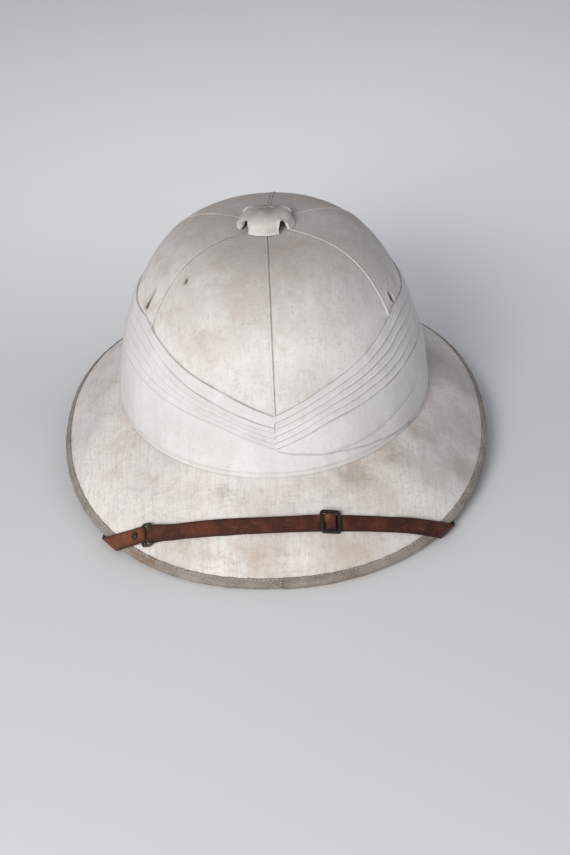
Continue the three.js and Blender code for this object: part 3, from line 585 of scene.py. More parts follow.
def band_piece():
    turns = even_columns(WRAP_COLUMNS)
    feet = wrap_level(turns, WRAP_FEET)
    signed = signed_turn(turns)
    degrees = np.degrees(signed)
    lap_on = np.where(signed > 0, 1 - ease(signed, *LAP_FADE), 0) * ease(signed, 0, LAP_START_TURN)
    lap_share = np.clip(1 - signed / LAP_END, 0, 1)
    lap_height = LAP_START_HEIGHT * lap_share * np.where(signed > 0, 1, 0)
    wander = LAP_RIPPLE * ripple(turns, seed=7, lowest=9)
    lap_height = lap_height + wander * (lap_share < 1) * (lap_share > 0)
    lap_height = lap_height + LAP_RUN_IN * np.exp(-np.abs(signed) / LAP_RUN_IN_TURN) * (signed > 0)
    fold_height = np.interp(degrees, FOLD_TURNS, FOLD_HEIGHTS)
    fold_on = ease(degrees, *FOLD_BEGINS) * (1 - ease(degrees, *FOLD_ENDS))
    rows, creases, bases = [], [], []
    for row in range(BAND_ROWS + 1):
        share = row / BAND_ROWS
        height = (feet + BAND_UNDERLAP) * share
        covered = ease(height, lap_height - LAP_EDGE[0], lap_height + LAP_EDGE[1])
        step = LAP_STEP * lap_on * np.where(lap_share > 0, covered, 1)
        fold = bell(height, fold_height, FOLD_WIDTH) * fold_on
        strip = bell(height, STRIP_HEIGHT, STRIP_WIDTH)
        wrinkle = BAND_WRINKLE * ripple(turns + BAND_WRINKLE_LEAN * height, seed=11, lowest=7)
        stand = lerp(WRAP_BASE_STAND, WRAP_FOOT_STAND, share) + step + wrinkle * math.sin(math.pi * share)
        stand = stand - FOLD_DEPTH * fold - STRIP_DEPTH * strip
        stand = stand - BAND_TUCK * ease(share, BAND_TUCK_SHARE, 1.0)
        rows.append(crown_point(turns, crown_radius(turns, height) + stand, height))
        # Painted shade, with some grime, along the lapped edge, the fold, the strip and the band's top under
        # the pleats.
        edge = bell(height, lap_height, LAP_LINE_WIDTH) * lap_on * (lap_share > 0)
        crease = LAP_LINE_SHADE * edge + FOLD_SHADE * fold + STRIP_SHADE * strip
        creases.append(np.clip(crease + ease(share, BAND_SHADE_SHARE, 1.0), 0, 1))
        bases.append(1 - ease(height, *STRIP_FADE))
    back = wrap_back(turns, 0, feet)
    creases += [0 * turns] * len(back)
    bases += [0 * turns] * len(back)
    masks = {"crease": np.stack(creases, 1), "base": np.stack(bases, 1)}
    return grid_piece("pagri_band", np.stack(rows + back, 1), masks)


def brim_edge(turn):
    return oval_radius(turn, BRIM_HALF_WIDTH, BRIM_HALF_LENGTH, BRIM_SQUARENESS)


def brim_root(turn):
    return crown_radius(turn, 0) + WRAP_BASE_STAND


def brim_height(turn, radius):
    root, edge = brim_root(turn), brim_edge(turn)
    share = np.maximum((radius - root) / (edge - root), 0)
    endwise = (np.abs(np.cos(turn)) * edge / BRIM_HALF_LENGTH) ** BRIM_ARCH_POWER
    fall = lerp(BRIM_SIDE_DROP, BRIM_END_DROP, endwise) - BRIM_WALL / 2
    return BASE_Z - PIECE_GAP - BRIM_WALL / 2 - fall * share + 4 * BRIM_BULGE * share * (1 - share)


def brim_slope(turn, radius, step=0.1):
    return (brim_height(turn, radius) - brim_height(turn, radius - step)) / step


def brim_point(turn, radius, up_by, out_by=0.0):
    slope = brim_slope(turn, radius)
    length = np.sqrt(1 + slope * slope)
    reach = radius + (out_by - slope * up_by) / length
    height = brim_height(turn, radius) + (slope * out_by + up_by) / length
    return around(turn, reach, height)


def brim_piece():
    turns = np.linspace(0, FULL_TURN, BRIM_COLUMNS, endpoint=False)
    root, edge = brim_root(turns) - BRIM_TUCK, brim_edge(turns)
    mouth = crown_radius(turns, 0, CROWN_WALL)
    half = BRIM_WALL / 2
    wave = BRIM_WAVE * ripple(turns, seed=3, lowest=4)
    level = BASE_Z - PIECE_GAP - half
    rows = [around(turns, mouth, level - half)]
    for row in range(UNDER_ROWS + 1):
        rows.append(brim_point(turns, lerp(root, edge, row / UNDER_ROWS), -half))
    rows.append(brim_point(turns, edge, 0, BRIM_EDGE_ROUND))
    for row in range(BRIM_ROWS + 1):
        share = 1 - row / BRIM_ROWS
        lift = wave * math.sin(math.pi * share)
        rows.append(brim_point(turns, lerp(root, edge, share), half + lift))
    rows.append(around(turns, mouth, level + half))
    return grid_piece("brim", np.stack(rows, 1))


def tape_section(turns):
    """The tape's section round the edge: how far out along the brim, how far up from it, and its wear."""
    leg = TAPE_LEG + TAPE_FRAY * ripple(turns, seed=5, lowest=60, waves=8)
    joint_end = TAPE_JOINT_TURN + TAPE_JOINT_LENGTH
    joint = ease(turns, TAPE_JOINT_TURN, TAPE_JOINT_TURN + TAPE_JOINT_RAMP)
    joint = joint * (1 - ease(turns, joint_end, joint_end + 2 * TAPE_JOINT_LENGTH))
    half = BRIM_WALL / 2 + TAPE_CLEARANCE
    bow = TAPE_BOW * ripple(turns, seed=8, lowest=30) + TAPE_JOINT_STEP * joint
    outer, thin = half + TAPE_THICK + bow, half + TAPE_EDGE_THICK + 0.5 * bow
    reach = TAPE_TIP + TAPE_THICK + bow
    places = [(-leg, -thin, 0)]
    places += [(-leg * share, -lerp(outer, thin, share), 0) for share in TAPE_UNDER_SHARES]
    for angle in np.linspace(-math.pi / 2, math.pi / 2, TAPE_ROUND_ROWS):
        places.append((reach * math.cos(angle), outer * math.sin(angle), TAPE_ROUND_WEAR))
    places += [(-leg * share, lerp(outer, thin, share), TAPE_TOP_WEAR) for share in TAPE_TOP_SHARES]
    places.append((-leg + TAPE_LIP_ROUND, thin, TAPE_LIP_WEAR))
    places += [(-leg, thin - TAPE_LIP_DROP, 1.0), (-leg, half - TAPE_LIP_SEAT, 1.0)]
    return places + [(0, half, 0), (TAPE_TIP, 0, 0), (0, -half, 0), (-leg, -half, 0)]


def binding_piece():
    turns = np.linspace(0, FULL_TURN, TAPE_COLUMNS, endpoint=False)
    edge = brim_edge(turns)
    rows, worn = [], []
    for out_by, up_by, wear in tape_section(turns):
        inward = np.minimum(out_by, 0) + 0 * turns
        row = brim_point(turns, edge + inward, up_by, np.maximum(out_by, 0))
        row[..., 2] = np.maximum(row[..., 2], 0)
        rows.append(row)
        worn.append(wear + 0 * turns)
    signed = signed_turn(turns)
    rust = ease(signed, TAPE_JOINT_TURN - TAPE_JOINT_RAMP / 2, TAPE_JOINT_TURN + TAPE_JOINT_RAMP)
    rust = rust * (1 - ease(signed, *TAPE_RUST_FADE))
    joint = bell(signed, TAPE_JOINT_TURN, TAPE_JOINT_WIDTH)
    masks = {"worn": np.stack(worn, 1), "rust": rust[:, None], "joint": joint[:, None]}
    return grid_piece("edge_binding", np.stack(rows, 1), masks)


def cap_piece():
    quarter = FULL_TURN / ARCH_COUNT
    reach = ARCH_HALF / ARCH_RADIUS
    just_inside, almost = 0.999 * reach, 0.9995 * reach
    fine = np.sin(np.linspace(-math.pi / 2, math.pi / 2, ARCH_COLUMNS)) * just_inside
    offsets = np.concatenate((fine, np.linspace(reach, quarter - reach, LEG_COLUMNS)))
    turns = np.concatenate([CAP_TURN + quarter * (arch + 0.5) + offsets for arch in range(ARCH_COUNT)])
    from_arch = np.concatenate([np.where(offsets > almost, reach, offsets)] * ARCH_COUNT)
    chord = np.minimum(np.abs(from_arch) * ARCH_RADIUS, ARCH_HALF)
    opening = ARCH_HEIGHT - ARCH_HALF + np.sqrt(ARCH_HALF ** 2 - chord ** 2)
    arch = np.where(np.abs(from_arch) < almost, opening, 0)
    outline = np.column_stack((CAP_RADII, CAP_HEIGHTS, np.zeros(len(CAP_RADII))))
    profile = smooth_line(outline, CAP_PROFILE_STEPS)
    radii, heights = profile[:, 0], np.maximum.accumulate(profile[:, 1])
    shares = np.linspace(0, 1, CAP_PROFILE_STEPS)
    rows, rims = [], []

    def place(row, inset):
        share = (row / CAP_ROWS) ** CAP_ROW_POWER
        along = lerp(np.interp(arch, heights, shares), 1, share)
        flare = ARCH_FLARE * arch / ARCH_HEIGHT * math.exp(-share / ARCH_FLARE_FADE) * (1 - share)
        radius = np.maximum(np.interp(along, shares, radii) + flare, 0) * (1 - inset / CAP_RADII[0])
        height = np.maximum(np.interp(along, shares, heights) - inset * along, 0)
        rows.append(around(turns, radius, height))
        # The rim mask marks the foot and the arches' edges for a painted highlight.
        rims.append(np.exp(-share / ARCH_RIM_FADE) + 0 * turns)

    for row in range(CAP_ROWS + 1):
        place(row, 0.0)
    for row in range(CAP_ROWS, -1, -1):
        place(row, CAP_WALL)
    points = np.stack(rows, 1) + CROWN_LEAN + np.array((0, 0, BASE_Z + CROWN_HEIGHT + CAP_SEAT))
    return grid_piece("vent_cap", points, {"rim": np.stack(rims, 1)}, merge=True)


# The strap's way over and under the brim

def strap_y(x):
    return STRAP_FRONT_Y + STRAP_BOW * x * x - STRAP_SKEW * x


def plan_turn(x, y):
    return math.atan2(x, -y)


def height_at(x, y):
    return float(brim_height(plan_turn(x, y), math.hypot(x, y)))


def brim_surface(x, y, step=0.1):
    slope_x = (height_at(x + step, y) - height_at(x - step, y)) / (2 * step)
    slope_y = (height_at(x, y + step) - height_at(x, y - step)) / (2 * step)
    return np.array((x, y, height_at(x, y))), unit(np.array((-slope_x, -slope_y, 1)))


def edge_frame(turn, step=0.001):
    def on_edge(place):
        return around(place, brim_edge(place), brim_height(place, brim_edge(place)))
    along = unit(on_edge(turn + step) - on_edge(turn - step))
    edge = float(brim_edge(turn))
    slope = float(brim_slope(turn, edge))
    way_out = around(turn, 1.0, slope)
    up = unit(np.cross(way_out, along))
    return on_edge(turn), up, along, unit(np.cross(along, up))


def strap_run(x, normal):
    plan = np.array((1, 2 * STRAP_BOW * x - STRAP_SKEW, 0))
    plan[2] = -plan.dot(normal) / normal[2]
    return unit(plan)


def strap_lift(x, y, settled):
    reach = float(brim_edge(plan_turn(x, y))) - math.hypot(x, y)
    return lerp(STRAP_TAPE_LIFT, settled, float(ease(reach, STRAP_EDGE_REACH, STRAP_SETTLED_REACH)))


def strap_crossing(side):
    def on_brim(reach):
        x = side * reach
        return math.hypot(x, strap_y(x)) < brim_edge(plan_turn(x, strap_y(x)))
    return side * furthest(on_brim, BRIM_HALF_WIDTH)


def strap_tail(side, wrap_steps=14, under_steps=16):
    """The stretch at one side: round the edge, then back under the brim."""
    x = strap_crossing(side)
    start = plan_turn(x, strap_y(x))
    _, up, along, out = edge_frame(start)
    heading = strap_run(x, up) * side
    advance = heading.dot(along) / heading.dot(out)
    stations = []

    def wrap_turn(angle):
        return start + advance * STRAP_EDGE_RADIUS * angle / float(brim_edge(start))

    for step in range(wrap_steps + 1):
        angle = math.pi * step / wrap_steps
        centre, up, along, out = edge_frame(wrap_turn(angle))
        face = out * math.sin(angle) + up * math.cos(angle)
        stations.append((centre + face * STRAP_EDGE_RADIUS, face, along))
    centre, _, along, out = edge_frame(wrap_turn(math.pi))
    course = advance * along - out
    course[2] = 0
    course = unit(course)

    def under_brim(reach):
        x, y = (centre + course * reach)[:2]
        return math.hypot(x, y) >= crown_radius(plan_turn(x, y), 0, CROWN_WALL)

    length = furthest(under_brim, BRIM_HALF_WIDTH) - STRAP_END_MARGIN
    for step in range(1, under_steps + 1):
        x, y = (centre + course * length * step / under_steps)[:2]
        point, normal = brim_surface(x, y)
        lift = strap_lift(x, y, STRAP_UNDER_GAP)
        stations.append((point - normal * (BRIM_WALL / 2 + lift + STRAP_THICK / 2), -normal, None))
    return stations


def strap_station(x, height, face_run, face_up, shift=0.0):
    point, normal = brim_surface(x, strap_y(x))
    run = strap_run(x, normal)
    across = np.cross(normal, run)
    point = point + normal * (BRIM_WALL / 2 + height) + across * shift
    return point, run * face_run + normal * face_up, None


def fold_stations(bar_x, start, sweep, inwards, steps=12):
    stations = []
    for step in range(steps + 1):
        angle = start + sweep * step / steps
        run, up = math.cos(angle), math.sin(angle)
        stations.append(strap_station(
            bar_x + STRAP_FOLD_RADIUS * run, BAR_HEIGHT + STRAP_FOLD_RADIUS * up,
            inwards * run, inwards * up))
    return stations


def chin_strap_stations():
    stations = strap_tail(1)[::-1]
    start, end = strap_crossing(1) - STRAP_EDGE_CLEAR, RIGHT_BAR_X + STRAP_RING_CLEAR
    for x in np.arange(start, end, -STRAP_STATION_STEP):
        lift = strap_lift(x, strap_y(x), STRAP_LIFT)
        stations.append(strap_station(x, lift + STRAP_THICK / 2, 0, 1))
    stations += fold_stations(RIGHT_BAR_X, -math.pi / 2, -math.pi, -1)
    start, end = RIGHT_BAR_X + STRAP_STATION_STEP, BUCKLE_X - STRAP_BUCKLE_CLEAR
    for x in np.arange(start, end, STRAP_STATION_STEP):
        settle = float(ease(x, RIGHT_BAR_X, RIGHT_BAR_X + STRAP_SETTLE_LENGTH))
        shift = STRAP_TOP_SHIFT * settle * (1 - float(ease(x, *STRAP_SHIFT_FADE)))
        height = lerp(BAR_HEIGHT + STRAP_FOLD_RADIUS, UPPER_HEIGHT, settle)
        stations.append(strap_station(x, height, 0, -1, shift))
    return stations + [strap_station(BUCKLE_X + x, height, 0, -1) for x, height in TONGUE]


def tab_stations():
    stations = strap_tail(-1)[::-1]
    stations += [strap_station(x, height, 0, 1) for x, height in TAB_TOP]
    return stations + fold_stations(LEFT_BAR_X, math.pi / 2, -0.75 * math.pi, 1)


def strap_section():
    """The strip's section in half widths and half thicknesses, and how near each place is to an edge."""
    corner_a, corner_f = STRAP_CORNER / (STRAP_WIDTH / 2), STRAP_CORNER / (STRAP_THICK / 2)
    section, edges = [], []
    for corner, (sign_a, sign_f) in enumerate(((1, -1), (1, 1), (-1, 1), (-1, -1))):
        for step in range(STRAP_CORNER_STEPS + 1):
            angle = math.pi / 2 * (corner - 1 + step / STRAP_CORNER_STEPS)
            section.append((sign_a * (1 - corner_a) + corner_a * math.cos(angle),
                            sign_f * (1 - corner_f) + corner_f * math.sin(angle)))
            edges.append(1.0)
        for place in STRAP_FLATS if sign_a == sign_f else ():
            section.append((place * sign_a, sign_f * (1 + STRAP_PUFF * (1 - place * place))))
            edges.append(0.75 if abs(place) > 0.8 else 0.25 if abs(place) > 0.5 else 0.0)
    return np.array(section), np.array(edges)


def strap_piece(name, stations, seed):
    """A flat leather strip with rounded edges along its stations."""
    points = np.array([station[0] for station in stations])
    tangents = np.gradient(points, axis=0)
    rows = []
    for (point, face, rule), tangent in zip(stations, tangents):
        tangent = unit(tangent)
        square = unit(np.cross(tangent, face))
        across = square if rule is None else rule
        side = across * (STRAP_WIDTH / 2 / across.dot(square))
        rows.append(np.concatenate((point, side, np.cross(square, tangent) * STRAP_THICK / 2)))
    total = np.linalg.norm(np.diff(points, axis=0), axis=1).sum()
    line = smooth_line(rows, int(total / STRAP_PITCH))
    rng = np.random.default_rng(seed)
    draws = rng.normal(size=len(line) + STRAP_WANDER_SPAN - 1)
    wander = np.convolve(draws, np.ones(STRAP_WANDER_SPAN) / math.sqrt(STRAP_WANDER_SPAN), "valid")
    width = 1 + STRAP_WANDER * wander[:, None, None]
    section, edges = strap_section()
    grid = (line[:, None, 0:3] + line[:, None, 3:6] * section[None, :, 0:1] * width
            + line[:, None, 6:9] * section[None, :, 1:2])
    return grid_piece(name, grid, {"edge": edges[None, :]}, closed_columns=False, caps=True)


def seat_matrix(x, height, tip=0.0):
    """Where a fitting lies on the strap: its run, its width and the way it faces."""
    point, face, _ = strap_station(x, height, 0, 1)
    run = unit(strap_station(x + 0.5, height, 0, 1)[0] - point)
    across = np.cross(face, run)
    turn = np.column_stack((run, across, face))
    tilt = np.array(((math.cos(tip), 0, math.sin(tip)), (0, 1, 0), (-math.sin(tip), 0, math.cos(tip))))
    return point, turn @ tilt


def seated(local, seat):
    point, turn = seat
    return local @ turn.T + point


def loop_points(path, tangents, section):
    """A closed wire: a section carried round a flat loop."""
    outward = np.stack((tangents[:, 1], -tangents[:, 0], 0 * tangents[:, 0]), -1)
    up = np.array((0, 0, 1.0))
    return path[:, None] + outward[:, None] * section[None, :, 0:1] + up * section[None, :, 1:2]


def rounded_loop(length, width, corner, steps=10):
    places, ways = [], []
    for quarter, (sx, sy) in enumerate(((1, 1), (-1, 1), (-1, -1), (1, -1))):
        for step in range(steps + 1):
            angle = math.pi / 2 * (quarter + step / steps)
            places.append((sx * (length / 2 - corner) + corner * math.cos(angle),
                           sy * (width / 2 - corner) + corner * math.sin(angle), 0))
            ways.append((-math.sin(angle), math.cos(angle)))
    return np.array(places), np.array(ways)


def ring_piece():
    path, ways = rounded_loop(RING_SPACING, RING_STRAIGHT + 2 * RING_CORNER, RING_CORNER)
    angles = np.linspace(0, FULL_TURN, 14, endpoint=False)
    section = RING_WIRE * np.column_stack((np.cos(angles), np.sin(angles)))
    return grid_piece("strap_ring", seated(loop_points(path, ways, section), seat_matrix(RING_X, BAR_HEIGHT)))


def squared_off(values):
    return np.sign(values) * np.abs(values) ** BUCKLE_SQUARENESS


def buckle_piece():
    length, width = BUCKLE_LENGTH - BUCKLE_BAR, BUCKLE_WIDTH - BUCKLE_SIDE_BAR
    path, ways = rounded_loop(length, width, BUCKLE_CORNER - BUCKLE_CORNER_INSET)
    angles = np.linspace(0, FULL_TURN, 24, endpoint=False)
    across, up = squared_off(np.cos(angles)), squared_off(np.sin(angles))
    section = np.column_stack((BUCKLE_BAR / 2 * across, BUCKLE_THICK / 2 * up))
    frame_points = loop_points(path, ways, section) + np.array((0, 0, BUCKLE_THICK / 2))
    tip = math.atan2(STRAP_THICK + STRAP_LIFT, BUCKLE_LENGTH - BUCKLE_TIP_INSET)
    seat = seat_matrix(BUCKLE_X, (LOWER_HEIGHT + UPPER_HEIGHT + STRAP_THICK) / 2 + PIECE_GAP, tip)
    buckle = grid_piece("strap_buckle", seated(frame_points, seat))
    reach = BUCKLE_WIDTH / 2 - BUCKLE_SIDE_BAR + PIN_SEAT
    bar = [np.column_stack((PIN_HALF_WIDTH * across, 0 * up + y, PIN_HALF_THICK * (1 - up)))
           for y in np.linspace(-reach, reach, 5)]
    pin = grid_piece("buckle_pin", seated(np.array(bar), seat), closed_columns=False, caps=True)
    return joined(buckle, pin)


def joined(*pieces):
    bpy.ops.object.select_all(action="DESELECT")
    for piece in pieces:
        piece.select_set(True)
    bpy.context.view_layer.objects.active = pieces[0]
    bpy.ops.object.join()
    return pieces[0]


def turned_piece(name, outline, seat, sides=40):
    """A round button from the radius and height of its outline."""
    line = smooth_line([(radius, height, 0) for radius, height in outline], 26)
    turns = np.linspace(0, FULL_TURN, sides, endpoint=False)[:, None]
    local = around(turns, np.maximum(line[None, :, 0], 0), line[None, :, 1])
    return grid_piece(name, seated(local, seat), closed_rows=False, merge=True)


def stud_piece():
    slope = math.atan2(BAR_HEIGHT + STRAP_FOLD_RADIUS - TAB_TOP[1][1], LEFT_BAR_X - TAB_TOP[1][0])
    seat = seat_matrix(STUD_X, TAB_TOP[2][1] + STRAP_THICK / 2 + 2 * PIECE_GAP, -slope)
    return turned_piece("strap_stud", STUD_OUTLINE, seat)


def rivet_piece(name, side):
    stations = strap_tail(side, wrap_steps=6, under_steps=7)
    (last, face, _), (before, _, _) = stations[-1], stations[-2]
    back = unit(before - last)
    point = last + back * RIVET_MARGIN + face * (STRAP_THICK / 2 + PIECE_GAP)
    across = unit(np.cross(face, back))
    return turned_piece(name, RIVET_OUTLINE, (point, np.column_stack((np.cross(across, face), across, face))))


# Values in node trees

class Value:
    """One value in a node tree: arithmetic on it adds Math nodes."""

    def __init__(self, tree, socket):
        self.tree = tree
        self.socket = socket

    def node(self, kind, settings=None, inputs=None, output=0):
        made = self.tree.nodes.new(kind)
        for label, setting in (settings or {}).items():
            setattr(made, label, setting)
        for label, given in (inputs or {}).items():
            if isinstance(given, Value):
                self.tree.links.new(given.socket, made.inputs[label])
            else:
                made.inputs[label].default_value = given
        return Value(self.tree, made.outputs[output])

    def maths(self, operation, first, second=0.0):
        return self.node("ShaderNodeMath", {"operation": operation}, {0: first, 1: second})

    def __add__(self, other):
        return self.maths("ADD", self, other)

    def __radd__(self, other):
        return self.maths("ADD", other, self)

    def __sub__(self, other):
        return self.maths("SUBTRACT", self, other)

    def __rsub__(self, other):
        return self.maths("SUBTRACT", other, self)

    def __mul__(self, other):
        return self.maths("MULTIPLY", self, other)

    def __rmul__(self, other):
        return self.maths("MULTIPLY", other, self)

    def between(self, low, high):
        inputs = {"Value": self, "From Min": low, "From Max": high}
        return self.node("ShaderNodeMapRange", {"interpolation_type": "SMOOTHSTEP", "clamp": True}, inputs)

    def noise(self, scale, detail=4.0, roughness=0.55, stretch=None):
        place = self
        if stretch:
            place = self.node("ShaderNodeMapping", None, {"Vector": self, "Scale": stretch})
        inputs = {"Vector": place, "Scale": scale, "Detail": detail, "Roughness": roughness}
        return self.node("ShaderNodeTexNoise", None, inputs)

    def near(self, centre, reach):
        """One at a point and nothing beyond its reach."""
        inputs = {0: self, 1: [value * MM for value in centre]}
        away = self.node("ShaderNodeVectorMath", {"operation": "DISTANCE"}, inputs, "Value")
        return 1 - away.between(0, reach * MM)

    def height(self):
        return self.node("ShaderNodeSeparateXYZ", None, {0: self}, 2)

    def mask(self, label):
        return self.node("ShaderNodeAttribute", {"attribute_name": label}, None, "Fac")

    def tint(self, amount, first, second):
        inputs = {0: amount, 6: first, 7: second}
        return self.node("ShaderNodeMix", {"data_type": "RGBA"}, inputs, 2)

    def layers(self, colour, *coats):
        """A colour with coats over it, each an amount and a shade."""
        for amount, shade in coats:
            colour = self.tint(amount, colour, shade)
        return colour

    def bump(self, height, strength, distance):
        inputs = {"Height": height, "Strength": strength, "Distance": distance}
        return self.node("ShaderNodeBump", None, inputs)

    def weave(self, pitch):
        """Threads over and under each other along the surface's own lengths."""
        lengths = self.node("ShaderNodeUVMap", {"uv_map": "lengths"})
        parts = self.node("ShaderNodeSeparateXYZ", None, {0: lengths})
        step = FULL_TURN / (pitch * MM)
        across = self.maths("SINE", parts * step)
        up = self.maths("SINE", Value(self.tree, parts.socket.node.outputs[1]) * step)
        return across * up


# Stitches along the binding

def stitch_tree(material):
    tree = bpy.data.node_groups.new("stitch_row", "GeometryNodeTree")
    face = tree.interface
    face.new_socket("Line", in_out="INPUT", socket_type="NodeSocketGeometry")
    sizes = {}
    for label in ("Spacing", "Length", "Width", "Unevenness"):
        sizes[label] = face.new_socket(label, in_out="INPUT", socket_type="NodeSocketFloat").identifier
    sizes["Seed"] = face.new_socket("Seed", in_out="INPUT", socket_type="NodeSocketInt").identifier
    face.new_socket("Stitches", in_out="OUTPUT", socket_type="NodeSocketGeometry")
    given = {socket.name: Value(tree, socket) for socket in tree.nodes.new("NodeGroupInput").outputs}
    line = given["Line"]
    spaced = line.node("GeometryNodeResampleCurve", {"mode": "LENGTH"},
                       {"Curve": line, "Length": given["Spacing"]})
    thread = line.node("GeometryNodeMeshUVSphere", None, {"Radius": 0.5, "Segments": 8, "Rings": 5})
    tangent = line.node("GeometryNodeInputTangent")
    lie = line.node("FunctionNodeAlignRotationToVector", {"axis": "X"}, {"Vector": tangent})
    share = line.node("FunctionNodeRandomValue", {"data_type": "FLOAT"},
                      {2: 1 - given["Unevenness"], 3: 1.0, "Seed": given["Seed"]}, 1)
    size = line.node("ShaderNodeCombineXYZ", None,
                     {"X": given["Length"] * share, "Y": given["Width"], "Z": given["Width"]})
    placed = line.node("GeometryNodeInstanceOnPoints", None,
                       {"Points": spaced, "Instance": thread, "Rotation": lie, "Scale": size})
    solid = line.node("GeometryNodeRealizeInstances", None, {0: placed})
    coated = line.node("GeometryNodeSetMaterial", None, {"Geometry": solid, "Material": material})
    tree.links.new(coated.socket, tree.nodes.new("NodeGroupOutput").inputs[0])
    return tree, sizes


def stitches_piece(material):
    turns = np.linspace(0, FULL_TURN, STITCH_LINE_COLUMNS, endpoint=False)
    inset = TAPE_LEG - STITCH_INSET + STITCH_WANDER * ripple(turns, seed=13, lowest=25)
    tape = lerp(TAPE_THICK, TAPE_EDGE_THICK, STITCH_ROW_SHARE)
    height = BRIM_WALL / 2 + TAPE_CLEARANCE + tape + STITCH_STAND
    line = brim_point(turns, brim_edge(turns) - inset, height) * MM
    curve = bpy.data.curves.new("binding_stitch_line", "CURVE")
    curve.dimensions = "3D"
    spline = curve.splines.new("POLY")
    spline.points.add(len(line) - 1)
    spline.points.foreach_set("co", np.column_stack((line, np.ones(len(line)))).astype(np.float32).ravel())
    spline.use_cyclic_u = True
    holder = bpy.data.objects.new("binding_stitch_line", curve)
    bpy.context.collection.objects.link(holder)
    tree, sizes = stitch_tree(material)
    rows = holder.modifiers.new("stitches", "NODES")
    rows.node_group = tree
    values = {"Spacing": STITCH_SPACING * MM, "Length": STITCH_LENGTH * MM, "Width": STITCH_WIDTH * MM,
              "Unevenness": STITCH_UNEVENNESS, "Seed": STITCH_SEED}
    for label, value in values.items():
        rows[sizes[label]] = value
    graph = bpy.context.evaluated_depsgraph_get()
    mesh = bpy.data.meshes.new_from_object(holder.evaluated_get(graph))
    mesh.name = "binding_stitches"
    bpy.data.objects.remove(holder)
    return finish_mesh("binding_stitches", mesh, sharp=180)


# Finishes

def new_finish(name):
    material = bpy.data.materials.new(name)
    material.use_nodes = True
    tree = material.node_tree
    shader = tree.nodes["Principled BSDF"]
    place = Value(tree, tree.nodes.new("ShaderNodeTexCoord").outputs["Object"])

    def put(**given):
        for label, value in given.items():
            socket = shader.inputs[label.replace("_", " ")]
            if isinstance(value, Value):
                tree.links.new(value.socket, socket)
            else:
                socket.default_value = value
    return material, place, put


# Colours
WHITE_CLOTH = (0.80, 0.77, 0.735, 1)
WRAP_CLOTH = (0.745, 0.735, 0.72, 1)
BRIM_CLOTH = (0.88, 0.83, 0.785, 1)
BRIGHT_CLOTH = (0.87, 0.86, 0.845, 1)
# Mauve grey, also used as painted shade on the crown's top and behind the vent cap
MAUVE_GREY = (0.46, 0.41, 0.38, 1)
# Grey stain, also used as painted shade on the brim's right side
GREY_STAIN_AND_SHADE = (0.50, 0.47, 0.445, 1)
BEIGE_STAIN = (0.54, 0.43, 0.345, 1)
BROWN_STAIN = (0.31, 0.195, 0.12, 1)
FLECK_BROWN = (0.29, 0.225, 0.18, 1)
DEEP_SHADE = (0.16, 0.13, 0.11, 1)
# Painted shade for the crown's grooves, and painted shade with some grime for the creases
LINE_SHADE_AND_GRIME = (0.19, 0.145, 0.115, 1)
# Near black: painted shade inside the crown's tears, also used for a dark speck on the brim.
TORN_DARK = (0.035, 0.022, 0.015, 1)
FRAYED_TAN = (0.42, 0.32, 0.22, 1)
CAP_PAINT = (0.66, 0.63, 0.59, 1)
CAP_GREY = (0.42, 0.37, 0.32, 1)
CAP_GRIME = (0.20, 0.14, 0.10, 1)
CAP_CHIP = (0.30, 0.24, 0.19, 1)
# Painted highlight on the cap's foot and arch edges
CAP_RIM_HIGHLIGHT = (0.9, 0.89, 0.86, 1)
TAPE_GREY = (0.34, 0.30, 0.265, 1)
TAPE_DARK = (0.17, 0.135, 0.105, 1)
TAPE_THREAD = (0.56, 0.52, 0.47, 1)
TAPE_WORN_DARK = (0.10, 0.075, 0.055, 1)
TAPE_RUST = (0.20, 0.12, 0.07, 1)
TAPE_RUST_SPOT = (0.24, 0.11, 0.05, 1)
TAPE_JOINT_DARK = (0.05, 0.04, 0.03, 1)
LEATHER_RED = (0.122, 0.031, 0.015, 1)
LEATHER_DARK = (0.045, 0.012, 0.007, 1)
LEATHER_RUBBED = (0.19, 0.058, 0.024, 1)
LEATHER_SCUFF = (0.035, 0.012, 0.008, 1)
LEATHER_PALE_END = (0.30, 0.115, 0.05, 1)
# Painted highlight on the leather folded in the buckle's window
LEATHER_BUCKLE_HIGHLIGHT = (0.34, 0.12, 0.045, 1)
LEATHER_EDGE = (0.028, 0.010, 0.007, 1)
ENAMEL_BLACK = (0.026, 0.021, 0.017, 1)
ENAMEL_RUBBED = (0.13, 0.105, 0.085, 1)
BRONZE_DARK = (0.055, 0.038, 0.024, 1)
BRONZE_RUBBED = (0.16, 0.10, 0.055, 1)
THREAD_PALE = (0.66, 0.62, 0.57, 1)
THREAD_DARK = (0.40, 0.35, 0.30, 1)
FLOOR_PALE = (0.80, 0.803, 0.81, 1)
FLOOR_GREY = (0.77, 0.773, 0.78, 1)

# Places with a look of their own: a centre in millimetres and a reach
CAP_GRIME_PLACE = ((1.0, 4.0, 166.0), 19)
TAPE_RUST_PLACE = ((-85.0, -150.0, 14.0), 22)
STRAP_PALE_END = ((-98.0, -134.0, 18.0), 30)
# Painted highlight on the leather in the buckle's window
BUCKLE_WINDOW = ((27.0, -147.0, 32.0), 6)

# Painted shade: the crown's cloth greys between these heights, in metres, darker towards its top
TOP_SHADE_HEIGHTS = (0.103, 0.179)


